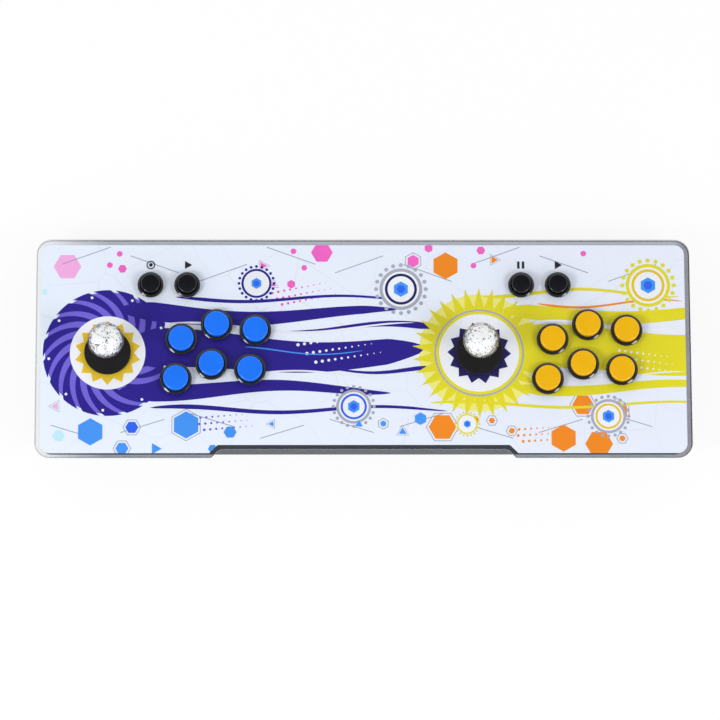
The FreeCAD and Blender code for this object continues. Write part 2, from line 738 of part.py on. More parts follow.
def button_switch():
    """A microswitch between the body's clips, with a well for the plunger's tip and two blades."""
    top = COVER_TOP - BODY_DEPTH
    base = top - SWITCH_HEIGHT
    case = block(SWITCH_LENGTH, SWITCH_WIDTH, base, top)
    blades = [
        block(BLADE_WIDTH, BLADE_THICKNESS, base - BLADE_LENGTH, base + OVERLAP, side * SWITCH_LENGTH / 3, 0)
        for side in (-1, 1)
    ]
    well_depth = TIP_RADIUS + BUTTON_TRAVEL + STACK_GAP
    well = disc(TIP_RADIUS + SLIDE_CLEARANCE, top - well_depth, top + PASS)
    return fused([case, *blades]).cut(well)


def write_buttons():
    """Bezels, plungers, nuts and switches at every button place."""
    nuts = []
    switches = []
    menu_bezels = []
    switch = button_switch()
    action_bezel = button_bezel(ACTION_RIM_RADIUS, ACTION_BODY_RADIUS)
    action_plunger = button_plunger(ACTION_BODY_RADIUS)
    action_nut = button_nut(ACTION_BODY_RADIUS, ACTION_NUT_RADIUS)
    menu_bezel = button_bezel(MENU_RIM_RADIUS, MENU_BODY_RADIUS)
    menu_plunger = button_plunger(MENU_BODY_RADIUS)
    menu_nut = button_nut(MENU_BODY_RADIUS, MENU_NUT_RADIUS)
    for side, centre in stick_centres():
        bezels = []
        for number, offset in enumerate(action_offsets(), start=1):
            spot = centre + offset
            bezels.append(moved(action_bezel, spot.x, spot.y))
            nuts.append(moved(action_nut, spot.x, spot.y))
            switches.append(moved(switch, spot.x, spot.y))
            write(f"{side}_action_plunger_{number}", moved(action_plunger, spot.x, spot.y))
        write(f"{side}_action_bezels", *bezels)
        for number, offset in enumerate(menu_offsets(), start=1):
            spot = centre + offset
            menu_bezels.append(moved(menu_bezel, spot.x, spot.y))
            nuts.append(moved(menu_nut, spot.x, spot.y))
            switches.append(moved(switch, spot.x, spot.y))
            write(f"{side}_menu_plunger_{number}", moved(menu_plunger, spot.x, spot.y))
    write("menu_bezels", *menu_bezels)
    write("button_nuts", *nuts)
    write("button_microswitches", *switches)


# ---- joysticks, each made at x = y = 0 ----

def bolt_cutter(spot):
    """The countersunk hole for one of the stick plate's bolts, through the deck."""
    hole = BOLT_RADIUS + PANEL_CLEARANCE
    sink = Part.makeCone(hole, BOLT_HEAD_RADIUS + FIT, CASE_SHEET, Vector(spot.x, spot.y, DECK_BASE), UP)
    return sink.fuse(disc(hole, DECK_BASE - PASS, DECK_BASE + CASE_SHEET / 2, spot.x, spot.y))


def plate_bolt():
    """A countersunk bolt, flush with the deck, and its nut under the stick plate."""
    shank_end = DECK_TOP - BOLT_LENGTH
    bolt = (
        Profile(0, DECK_TOP - FIT).line(BOLT_HEAD_RADIUS - FIT, DECK_TOP - FIT)
        .line(BOLT_RADIUS, DECK_BASE + FIT).line(BOLT_RADIUS, shank_end).line(0, shank_end).turned()
    )
    nut_top = HOUSING_TOP
    nut = hexagon(NUT_RADIUS, nut_top - NUT_HEIGHT, nut_top)
    nut = nut.cut(disc(BOLT_RADIUS + THREAD_CLEARANCE, nut_top - NUT_HEIGHT - PASS, nut_top + PASS))
    return [bolt, nut]


def housing_screw_places():
    """The four screws that hold the housing to the stick plate."""
    return [Vector(sx * HOUSING_SCREW, sy * HOUSING_SCREW, 0) for sx in (-1, 1) for sy in (-1, 1)]


def stick_fasteners():
    """Plate bolts with their nuts, and the housing's screws from below."""
    pair = plate_bolt()
    solids = [moved(solid, place.x, place.y) for place in plate_bolt_places() for solid in pair]
    seat = HOUSING_TOP - HOUSING_FLANGE
    length = HOUSING_FLANGE + PLATE_THICKNESS - 2 * FIT
    shank = disc(SCREW_RADIUS, 0, length)
    head = disc(SCREW_HEAD_RADIUS, -SCREW_HEAD_HEIGHT, 0)
    screw = fused([shank, head])
    solids += [moved(screw, place.x, place.y, seat) for place in housing_screw_places()]
    return solids


def mount_plate():
    """The steel plate that hangs the stick under the deck."""
    plate = rounded_block(PLATE_WIDTH, PLATE_LENGTH, HOUSING_CORNER, HOUSING_TOP, DECK_BASE)
    base = HOUSING_TOP - PASS
    top = DECK_BASE + PASS
    cuts = [disc(PLATE_HOLE_RADIUS, base, top)]
    cuts += [disc(BOLT_RADIUS + PANEL_CLEARANCE, base, top, p.x, p.y) for p in plate_bolt_places()]
    cuts += [disc(SCREW_RADIUS + THREAD_CLEARANCE, base, top, p.x, p.y) for p in housing_screw_places()]
    return plate.cut(cuts)


def housing():
    """The moulded body: washer recess, ball seat, spring skirt, ribs and two square flanges."""
    recess = HOUSING_TOP - RECESS_DEPTH
    crown = RECESS_RADIUS + CROWN_WALL
    crown_base = recess - CROWN_FLOOR
    barrel_top = crown_base - CROWN_TAPER
    below = math.asin((PIVOT_Z - SEAT_FLOOR) / SEAT_RADIUS) / 2
    body = (
        Profile(crown, HOUSING_TOP).line(crown, crown_base).line(BARREL_RADIUS, barrel_top)
        .line(BARREL_RADIUS, SKIRT_BASE).line(SKIRT_RADIUS, SKIRT_BASE).line(SKIRT_RADIUS, WEB_BASE)
        .line(SEAT_MOUTH_RADIUS, WEB_BASE).line(SEAT_MOUTH_RADIUS, SEAT_FLOOR)
        .arc(SEAT_RADIUS * math.cos(below), PIVOT_Z - SEAT_RADIUS * math.sin(below), SEAT_RADIUS, PIVOT_Z)
        .line(SEAT_RADIUS, recess).line(RECESS_RADIUS, recess).line(RECESS_RADIUS, HOUSING_TOP).turned()
    )
    side = HOUSING_TOP_SQUARE
    top_flange = rounded_block(side, side, HOUSING_CORNER, HOUSING_TOP - HOUSING_FLANGE, HOUSING_TOP)
    top_flange = top_flange.cut(disc(crown - OVERLAP, SKIRT_BASE, HOUSING_TOP + PASS))
    side = HOUSING_SQUARE
    foot_flange = rounded_block(side, side, HOUSING_CORNER, SKIRT_BASE, SKIRT_BASE + HOUSING_FLANGE)
    foot_flange = foot_flange.cut(disc(BARREL_RADIUS - OVERLAP, SKIRT_BASE - PASS, HOUSING_TOP))
    front = -RIB_THICKNESS / 2
    inner = BARREL_RADIUS - OVERLAP
    outer = HOUSING_SQUARE / 2 - RIB_INSET
    foot = SKIRT_BASE + HOUSING_FLANGE / 2
    outline = [(inner, foot), (outer, foot), (inner, barrel_top), (inner, foot)]
    face = Part.Face(Part.makePolygon([Vector(x, front, z) for x, z in outline]))
    rib = face.extrude(BACKWARDS * RIB_THICKNESS)
    ribs = [turned(rib, 90 * n) for n in range(4)]
    hole = SCREW_RADIUS + THREAD_CLEARANCE
    base = HOUSING_TOP - 2 * HOUSING_FLANGE
    holes = [disc(hole, base, HOUSING_TOP + PASS, p.x, p.y) for p in housing_screw_places()]
    return fused([body, top_flange, foot_flange, *ribs]).cut(holes)


def pivot():
    """The ball the stick turns on: flat on top, cut off below, its bore flared for the shaft's tilt."""
    top = PIVOT_Z + PIVOT_TOP
    base = PIVOT_Z - PIVOT_BOTTOM
    waist = NECK_RADIUS + FIT
    flare = math.tan(math.radians(TILT_DEGREES + PIVOT_BORE_SLACK))
    rim_top = math.sqrt(PIVOT_RADIUS**2 - PIVOT_TOP**2)
    rim_base = math.sqrt(PIVOT_RADIUS**2 - PIVOT_BOTTOM**2)
    below = math.asin((PIVOT_BOTTOM - PIVOT_TOP) / PIVOT_RADIUS) / 2
    return (
        Profile(waist, PIVOT_Z).line(waist / math.cos(TILT) + PIVOT_TOP * flare, top).line(rim_top, top)
        .arc(PIVOT_RADIUS * math.cos(below), PIVOT_Z - PIVOT_RADIUS * math.sin(below), rim_base, base)
        .line(waist / math.cos(TILT) + PIVOT_BOTTOM * flare, base).turned()
    )


def shaft():
    """The steel shaft: stud, main length, collar over the pivot, neck and clip groove."""
    ball_base = BALL_CENTRE - math.sqrt(BALL_RADIUS**2 - BALL_FLAT_RADIUS**2)
    stud_top = ball_base + STUD_LENGTH

    def underside(radius):
        return PIVOT_Z + (PIVOT_TOP + FIT + radius * math.sin(TILT)) / math.cos(TILT)

    collar_top = underside(COLLAR_RADIUS) + COLLAR_HEIGHT
    groove_top = ACTUATOR_BASE
    groove_base = groove_top - CLIP_THICKNESS
    tail = groove_base - SHAFT_TAIL
    groove = NECK_RADIUS - CLIP_GROOVE
    return (
        Profile(0, stud_top).line(STUD_RADIUS - STUD_CHAMFER, stud_top)
        .line(STUD_RADIUS, stud_top - STUD_CHAMFER).line(STUD_RADIUS, ball_base - FIT)
        .line(SHAFT_RADIUS, ball_base - FIT).line(SHAFT_RADIUS, collar_top)
        .line(COLLAR_RADIUS, collar_top).line(COLLAR_RADIUS, underside(COLLAR_RADIUS))
        .line(NECK_RADIUS, underside(NECK_RADIUS)).line(NECK_RADIUS, groove_top).line(groove, groove_top)
        .line(groove, groove_base).line(NECK_RADIUS, groove_base).line(NECK_RADIUS, tail + STUD_CHAMFER)
        .line(NECK_RADIUS - STUD_CHAMFER, tail).line(0, tail).turned()
    )


def shaft_clip():
    """The spring clip in the shaft's groove, open on one side."""
    top = ACTUATOR_BASE - FIT / 2
    base = ACTUATOR_BASE - CLIP_THICKNESS + FIT / 2
    inner = NECK_RADIUS - CLIP_GROOVE + FIT
    mouth = block(2 * CLIP_RADIUS, CLIP_MOUTH, base - PASS, top + PASS, CLIP_RADIUS, 0)
    return ring(CLIP_RADIUS, inner, base, top).cut(mouth)


def actuator():
    """The sleeve at the shaft's foot that pushes the switches and stops in the gate."""
    inner = NECK_RADIUS + FIT
    shoulder = ACTUATOR_TOP - ACTUATOR_FLANGE_HEIGHT
    return (
        Profile(inner, ACTUATOR_TOP).line(ACTUATOR_FLANGE_RADIUS, ACTUATOR_TOP)
        .line(ACTUATOR_FLANGE_RADIUS, shoulder).line(ACTUATOR_RADIUS, shoulder - ACTUATOR_SLOPE)
        .line(ACTUATOR_RADIUS, ACTUATOR_BASE + ACTUATOR_CHAMFER)
        .line(ACTUATOR_RADIUS - ACTUATOR_CHAMFER, ACTUATOR_BASE).line(inner, ACTUATOR_BASE).turned()
    )


def centring_spring():
    """The coil between the housing's web and the actuator, lofted from sections along its helix."""
    base = ACTUATOR_TOP + FIT + SPRING_WIRE
    rise = WEB_BASE - FIT - SPRING_WIRE - base
    steps = round(SPRING_TURNS * SPRING_STEPS)

    def section(step):
        angle = 2 * math.pi * step / SPRING_STEPS
        outward = Vector(math.cos(angle), math.sin(angle), 0)
        centre = outward * SPRING_RADIUS + Vector(0, 0, base + rise * step / steps)
        around = [math.radians(60 * n) for n in range(6)]
        rim = [centre + (outward * math.cos(a) + UP * math.sin(a)) * SPRING_WIRE for a in around]
        return Part.makePolygon(rim + rim[:1])

    return Part.makeLoft([section(step) for step in range(steps + 1)], True, True)


def ball_top():
    """The clear ball with a flat under it and a bore for its insert."""
    flat_drop = math.sqrt(BALL_RADIUS**2 - BALL_FLAT_RADIUS**2)
    bore = INSERT_RADIUS + FIT
    base = -flat_drop
    depth = base + INSERT_LENGTH + FIT
    ball = (
        Profile(0, depth).line(bore, depth).line(bore, base).line(BALL_FLAT_RADIUS, base)
        .arc(BALL_RADIUS, 0, 0, BALL_RADIUS).turned()
    )
    return moved(ball, 0, 0, BALL_CENTRE)


def ball_insert():
    """The brass insert that takes the shaft's stud."""
    base = BALL_CENTRE - math.sqrt(BALL_RADIUS**2 - BALL_FLAT_RADIUS**2)
    top = base + INSERT_LENGTH
    thread = STUD_RADIUS + THREAD_CLEARANCE
    return (
        Profile(0, top).line(INSERT_RADIUS - STUD_CHAMFER, top).line(INSERT_RADIUS, top - STUD_CHAMFER)
        .line(INSERT_RADIUS, base).line(thread, base).line(thread, base + STUD_LENGTH + FIT)
        .line(0, base + STUD_LENGTH + FIT).turned()
    )


def dust_washer():
    """The thin disc that lies on the cover and slides with the shaft."""
    inner = SHAFT_RADIUS + WASHER_CLEARANCE
    top = COVER_TOP + WASHER_THICKNESS
    return (
        Profile(inner, COVER_TOP).line(WASHER_RADIUS, COVER_TOP).line(WASHER_RADIUS, top - WASHER_EDGE)
        .eased(WASHER_RADIUS, top, WASHER_RADIUS - WASHER_EDGE, top).line(inner, top).turned()
    )


def lower_dust_washer():
    """The smaller washer that slides in the housing's recess."""
    base = HOUSING_TOP - RECESS_DEPTH + STACK_GAP
    inner = (SHAFT_RADIUS + STACK_GAP) / math.cos(TILT) + WASHER_SHIFT
    return ring(LOWER_WASHER_RADIUS, inner, base, base + LOWER_WASHER_THICKNESS)


def switch_board():
    """The board with four microswitches round the actuator and a plug header."""
    board = rounded_block(HOUSING_SQUARE, HOUSING_SQUARE, HOUSING_CORNER, SWITCH_BOARD_BASE, SWITCH_BOARD_TOP)
    board = board.cut(disc(BOARD_HOLE_RADIUS, SWITCH_BOARD_BASE - PASS, SWITCH_BOARD_TOP + PASS))
    solids = [board]
    middle = SWITCH_FACE + STICK_SWITCH_PIN + STICK_SWITCH_DEPTH / 2
    base = SWITCH_BOARD_BASE - STICK_SWITCH_HEIGHT
    body = block(STICK_SWITCH_DEPTH, STICK_SWITCH_LENGTH, base, SWITCH_BOARD_BASE, middle, 0)
    start = Vector(SWITCH_FACE, 0, SWITCH_CENTRE_Z)
    pin = Part.makeCylinder(STICK_SWITCH_PIN_RADIUS, STICK_SWITCH_PIN + OVERLAP, start, Vector(1, 0, 0))
    switch = fused([body, pin])
    solids += [turned(switch, 90 * n) for n in range(4)]
    length = STICK_HEADER_LENGTH
    base = SWITCH_BOARD_BASE - STICK_HEADER_HEIGHT
    x = HOUSING_SQUARE / 2 - HEADER_DEPTH
    y = STICK_HEADER_INSET - HOUSING_SQUARE / 2
    header = block(HEADER_DEPTH, length, base, SWITCH_BOARD_BASE, x, y)
    walls = 2 * HEADER_WALL
    slot = block(HEADER_DEPTH - walls, length - walls, base - PASS, SWITCH_BOARD_BASE - HEADER_WALL, x, y)
    solids.append(header.cut(slot))
    return solids


def restrictor_gate():
    """The square gate that ends the stick's throw, clipped over the housing's lower flange."""
    side = 2 * GATE_OPENING
    opening = rounded_block(side, side, GATE_CORNER, GATE_BASE - PASS, GATE_TOP + PASS)
    plate = rounded_block(GATE_SQUARE, GATE_SQUARE, HOUSING_CORNER, GATE_BASE, GATE_TOP).cut(opening)
    catch = SKIRT_BASE + HOUSING_FLANGE + FIT
    inner = HOUSING_SQUARE / 2 + FIT
    outer = inner + GATE_LEG_THICKNESS
    foot = GATE_TOP - GATE_THICKNESS / 2
    outline = [
        (inner, foot), (outer, foot), (outer, catch + GATE_HOOK_RISE / 2), (inner, catch + GATE_HOOK_RISE),
        (inner - GATE_HOOK, catch), (inner, catch), (inner, foot),
    ]
    face = Part.Face(Part.makePolygon([Vector(x, -GATE_LEG_WIDTH / 2, z) for x, z in outline]))
    leg = face.extrude(BACKWARDS * GATE_LEG_WIDTH)
    return fused([plate, *[turned(leg, 90 * n) for n in range(4)]])


def write_sticks():
    """Every piece of the two sticks, each at its own place."""
    fasteners = []
    pieces = {
        "mount_plate": [mount_plate()],
        "stick_housing": [housing()],
        "stick_pivot": [pivot()],
        "stick_shaft": [shaft(), shaft_clip()],
        "stick_actuator": [actuator()],
        "centring_spring": [centring_spring()],
        "ball_top": [ball_top()],
        "ball_insert": [ball_insert()],
        "dust_washer": [dust_washer()],
        "lower_dust_washer": [lower_dust_washer()],
        "switch_board": switch_board(),
        "restrictor_gate": [restrictor_gate()],
    }
    for side, centre in stick_centres():
        for name, solids in pieces.items():
            write(f"{side}_{name}", *[moved(solid, centre.x, centre.y) for solid in solids])
        fasteners += [moved(solid, centre.x, centre.y) for solid in stick_fasteners()]
    write("stick_fasteners", *fasteners)


# ---- game board and rear panel ----

def heat_sink():
    """A finned block on the main chip."""
    base = BOARD_TOP + CHIP_HEIGHT
    top = base + HEAT_SINK_HEIGHT
    first = (HEAT_SINK_FIN - HEAT_SINK_SIDE) / 2
    pitch = (HEAT_SINK_SIDE - HEAT_SINK_FIN) / (HEAT_SINK_FINS - 1)
    side = HEAT_SINK_SIDE
    fins = [block(HEAT_SINK_FIN, side, base, top, first + n * pitch, 0) for n in range(HEAT_SINK_FINS)]
    return fused([block(side, side, base, base + HEAT_SINK_BASE), *fins])


def board_header(x, y):
    """An open plug header that stands on the game board."""
    walls = 2 * HEADER_WALL
    shell = block(HEADER_LENGTH, HEADER_DEPTH, BOARD_TOP, BOARD_TOP + HEADER_HEIGHT, x, y)
    base = BOARD_TOP + HEADER_WALL
    slot = block(HEADER_LENGTH - walls, HEADER_DEPTH - walls, base, BOARD_TOP + HEADER_HEIGHT + PASS, x, y)
    return shell.cut(slot)


def game_board():
    """The board, its chips and heat sink, memory and the two headers of the controls."""
    board = block(BOARD_LENGTH, BOARD_DEPTH, BOARD_BASE, BOARD_TOP, 0, BOARD_MIDDLE_Y)
    hole = SCREW_RADIUS + THREAD_CLEARANCE
    holes = [disc(hole, BOARD_BASE - PASS, BOARD_TOP + PASS, p.x, p.y) for p in standoff_places()]
    chip_y = BOARD_MIDDLE_Y - CHIP_SETBACK
    chip = block(CHIP_SIDE, CHIP_SIDE, BOARD_TOP, BOARD_TOP + CHIP_HEIGHT, 0, chip_y)
    solids = [board.cut(holes), chip, moved(heat_sink(), 0, chip_y)]
    memory_x = -HEAT_SINK_SIDE / 2 - MEMORY_LENGTH
    for n in range(MEMORY_COUNT):
        y = chip_y + (n - (MEMORY_COUNT - 1) / 2) * MEMORY_PITCH
        solids.append(block(MEMORY_LENGTH, MEMORY_WIDTH, BOARD_TOP, BOARD_TOP + MEMORY_HEIGHT, memory_x, y))
    solids += [board_header(side * BOARD_LENGTH / 4, BOARD_FRONT + HEADER_DEPTH) for side in (-1, 1)]
    return solids


def board_standoffs():
    """Hexagonal posts between the bottom plate and the board."""
    post = hexagon(STANDOFF_RADIUS, SHELL_BASE, BOARD_BASE)
    post = post.cut(disc(SCREW_RADIUS + THREAD_CLEARANCE, SHELL_BASE - PASS, BOARD_BASE + PASS))
    return [moved(post, place.x, place.y) for place in standoff_places()]


def port_box(width, height, depth, x, base, front):
    """A box whose mouth is at the front line and whose foot is at the base."""
    return rear_box(width, height, front - depth, front, x, base + height / 2)


def sheet_socket(width, height, depth, x, tongue_height):
    """A folded metal socket, open at the back of the panel, with a tongue at its middle."""
    front = CASE_BACK + PORT_REACH
    walls = 2 * PORT_WALL
    outer = port_box(width, height, depth, x, BOARD_TOP, front)
    hollow = port_box(width - walls, height - walls, depth - PORT_WALL, x, BOARD_TOP + PORT_WALL, front)
    rise = BOARD_TOP + (height - tongue_height) / 2
    tip = front - TONGUE_SETBACK
    tongue_depth = depth - TONGUE_SETBACK - PORT_WALL / 2
    tongue = port_box(width * TONGUE_WIDTH_SHARE, tongue_height, tongue_depth, x, rise, tip)
    return fused([outer.cut(hollow), tongue])


def hdmi_port():
    """The HDMI socket on the board."""
    return sheet_socket(HDMI_WIDTH, HDMI_HEIGHT, HDMI_DEPTH, HDMI_X, HDMI_TONGUE)


def vga_prism(length, height, start, end):
    """The VGA shell's D-shaped form, wide side up, between two lines."""
    outline = [
        (-length / 2, height / 2), (length / 2, height / 2), (length / 2 - VGA_SHELL_SLOPE, -height / 2),
        (VGA_SHELL_SLOPE - length / 2, -height / 2), (-length / 2, height / 2),
    ]
    face = Part.Face(Part.makePolygon([Vector(VGA_X + x, start, VGA_Z + z) for x, z in outline]))
    prism = face.extrude(BACKWARDS * (end - start))
    along = [edge for edge in prism.Edges if abs(edge.tangentAt(edge.FirstParameter).y) > 0.9]
    return prism.makeFillet(VGA_SHELL_CORNER, along)


def vga_port():
    """The VGA socket: flange, D-shaped shell, insulator and two hexagonal posts."""
    wall = CASE_BACK - CASE_SHEET
    start = wall - VGA_FLANGE - FIT
    end = CASE_BACK + VGA_REACH
    flange = rear_box(VGA_FLANGE_LENGTH, VGA_FLANGE_HEIGHT, start, wall - FIT, VGA_X, VGA_Z)
    low = BOARD_TOP + VGA_BODY_HEIGHT / 2
    body = rear_box(VGA_BODY_LENGTH, VGA_BODY_HEIGHT, start - VGA_DEPTH, start + VGA_FLANGE / 2, VGA_X, low)
    walls = 2 * PORT_WALL
    shell = vga_prism(VGA_SHELL_LENGTH, VGA_SHELL_HEIGHT, start, end)
    mouth = vga_prism(VGA_SHELL_LENGTH - walls, VGA_SHELL_HEIGHT - walls, wall, end + PASS)
    post = turned(hexagon(VGA_SCREW_RADIUS, 0, end - start), -90, Vector(1, 0, 0))
    posts = [moved(post, x, start, VGA_Z) for x in vga_screw_columns()]
    return fused([flange, body, shell.cut(mouth), *posts])


def usb_ports():
    """Two USB sockets side by side."""
    return [sheet_socket(USB_WIDTH, USB_HEIGHT, USB_DEPTH, x, USB_TONGUE) for x in usb_centres()]


def inlet_barrel(radius, start, end):
    """A cylinder on the inlet's axis, its ends given from the case's back."""
    return rear_cylinder(radius, CASE_BACK + start, CASE_BACK + end, INLET_X, PORT_MIDDLE_Z)


def power_inlet():
    """The round low-voltage inlet: flange and barrel with a centre pin, and its nut inside the wall."""
    flange = inlet_barrel(INLET_FLANGE_RADIUS, 0, INLET_FLANGE)
    body = inlet_barrel(INLET_RADIUS, -INLET_DEPTH, INLET_FLANGE / 2)
    bore = inlet_barrel(INLET_BORE, INLET_FLOOR - INLET_DEPTH, INLET_FLANGE + PASS)
    pin = inlet_barrel(INLET_PIN, INLET_FLOOR / 2 - INLET_DEPTH, 0)
    nut = inlet_barrel(INLET_NUT_RADIUS, -CASE_SHEET - INLET_NUT, -CASE_SHEET)
    thread = inlet_barrel(INLET_RADIUS + THREAD_CLEARANCE, -CASE_SHEET - INLET_NUT - PASS, 0)
    return [fused([flange.fuse(body).cut(bore), pin]), nut.cut(thread)]


def rocker_block(length, height, start, end):
    """A box centred on the rocker switch, its ends given from the case's back."""
    return rear_box(length, height, CASE_BACK + start, CASE_BACK + end, ROCKER_X, PORT_MIDDLE_Z)


def power_switch_body():
    """The snap-in frame and body of the power switch, hollow for its rocker."""
    bezel = rocker_block(ROCKER_BEZEL_LENGTH, ROCKER_BEZEL_HEIGHT, 0, ROCKER_BEZEL)
    front = bezel.BoundBox.YMax
    face = [edge for edge in bezel.Edges if min(vertex.Y for vertex in edge.Vertexes) > front - FIT]
    bezel = bezel.makeFillet(ROCKER_BEZEL_EDGE, face)
    walls = 2 * ROCKER_WALL
    body = rocker_block(ROCKER_BODY_LENGTH, ROCKER_BODY_HEIGHT, -ROCKER_BODY_DEPTH, FIT)
    floor = ROCKER_FLOOR - ROCKER_BODY_DEPTH
    hollow = rocker_block(ROCKER_BODY_LENGTH - walls, ROCKER_BODY_HEIGHT - walls, floor, ROCKER_BEZEL + PASS)
    blade = rocker_block(BLADE_THICKNESS, ROCKER_BLADE_WIDTH, -ROCKER_BODY_DEPTH - BLADE_LENGTH, floor)
    blades = [moved(blade, n * ROCKER_BLADE_PITCH) for n in (-1, 0, 1)]
    return fused([bezel.fuse(body).cut(hollow), *blades])


def power_rocker():
    """The rocker, a sector about its own axle, stored pressed to its off side."""
    pivot_y = CASE_BACK + ROCKER_BEZEL - ROCKER_PIVOT_DEPTH
    radius = ROCKER_BODY_LENGTH / 2 - ROCKER_WALL - ROCKER_CLEARANCE
    height = ROCKER_BODY_HEIGHT - 2 * ROCKER_WALL - 2 * ROCKER_CLEARANCE
    centre = Vector(ROCKER_X, pivot_y, PORT_MIDDLE_Z)
    low = centre - UP * (height / 2)
    drum = Part.makeCylinder(radius, height, low, UP)
    keep = rear_box(2 * radius, height, pivot_y - ROCKER_ROOT, pivot_y + ROCKER_RISE, ROCKER_X, PORT_MIDDLE_Z)
    dish_y = pivot_y + ROCKER_RISE - ROCKER_DISH + ROCKER_DISH_RADIUS
    dish = Part.makeCylinder(ROCKER_DISH_RADIUS, height, Vector(ROCKER_X, dish_y, low.z), UP)
    return turned(drum.common(keep).cut(dish), ROCKER_TILT, UP, centre)


def write_case():
    """Cover, film, case, feet and bottom fasteners."""
    write("acrylic_cover", acrylic_cover())
    write("printed_film", printed_film())
    write("case_shell", case_shell())
    write("bottom_plate", bottom_plate())
    write("rubber_feet", *rubber_feet())
    write("bottom_screws", *bottom_screws())


def write_electronics():
    """Game board, standoffs and everything on the rear panel."""
    write("game_board", *game_board())
    write("board_standoffs", *board_standoffs())
    write("hdmi_port", hdmi_port())
    write("vga_port", vga_port())
    write("usb_ports", *usb_ports())
    write("power_inlet", *power_inlet())
    write("power_switch_body", power_switch_body())
    write("power_rocker", power_rocker())


os.makedirs("parts", exist_ok=True)
write_case()
write_buttons()
write_sticks()
write_electronics()
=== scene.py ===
"""The dressed arcade joystick panel: finishes, printed film, crystal ball tops and the studio round it."""

import json
import logging
import math
import random
from dataclasses import dataclass, field
from enum import Enum
from typing import Any, Iterable, Optional

import bmesh
import bpy
from mathutils import Matrix, Vector


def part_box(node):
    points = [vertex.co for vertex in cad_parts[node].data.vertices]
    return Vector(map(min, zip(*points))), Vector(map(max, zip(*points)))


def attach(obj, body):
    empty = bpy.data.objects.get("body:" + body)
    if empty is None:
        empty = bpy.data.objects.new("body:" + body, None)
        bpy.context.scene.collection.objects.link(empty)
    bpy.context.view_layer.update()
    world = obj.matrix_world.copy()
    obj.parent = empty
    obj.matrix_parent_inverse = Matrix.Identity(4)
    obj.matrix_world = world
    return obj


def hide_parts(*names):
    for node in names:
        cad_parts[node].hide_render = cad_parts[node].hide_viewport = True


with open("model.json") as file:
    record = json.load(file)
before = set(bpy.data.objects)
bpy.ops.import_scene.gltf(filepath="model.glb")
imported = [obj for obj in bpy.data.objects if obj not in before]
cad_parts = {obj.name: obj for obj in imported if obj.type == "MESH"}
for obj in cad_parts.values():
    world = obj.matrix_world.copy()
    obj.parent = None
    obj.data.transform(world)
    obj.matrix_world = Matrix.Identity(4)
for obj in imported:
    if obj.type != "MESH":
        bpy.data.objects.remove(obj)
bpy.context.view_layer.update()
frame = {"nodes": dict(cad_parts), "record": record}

LOG = logging.getLogger("panel")
MM = 0.001
SEAM = 0.001 * MM

Colour = tuple[float, float, float]


def srgb(red: int, green: int, blue: int) -> Colour:
    """A screen colour as the linear values that shaders use.

    Args:
        red: Red from 0 to 255.
        green: Green from 0 to 255.
        blue: Blue from 0 to 255.

    Returns:
        The three linear channels.
    """
    channels = []
    for value in (red, green, blue):
        share = value / 255.0
        channels.append(share / 12.92 if share <= 0.04045 else ((share + 0.055) / 1.055) ** 2.4)
    return tuple(channels)


class Side(Enum):
    """The two players' halves of the panel."""

    LEFT = "left"
    RIGHT = "right"


# ---------------------------------------------------------------- node graphs


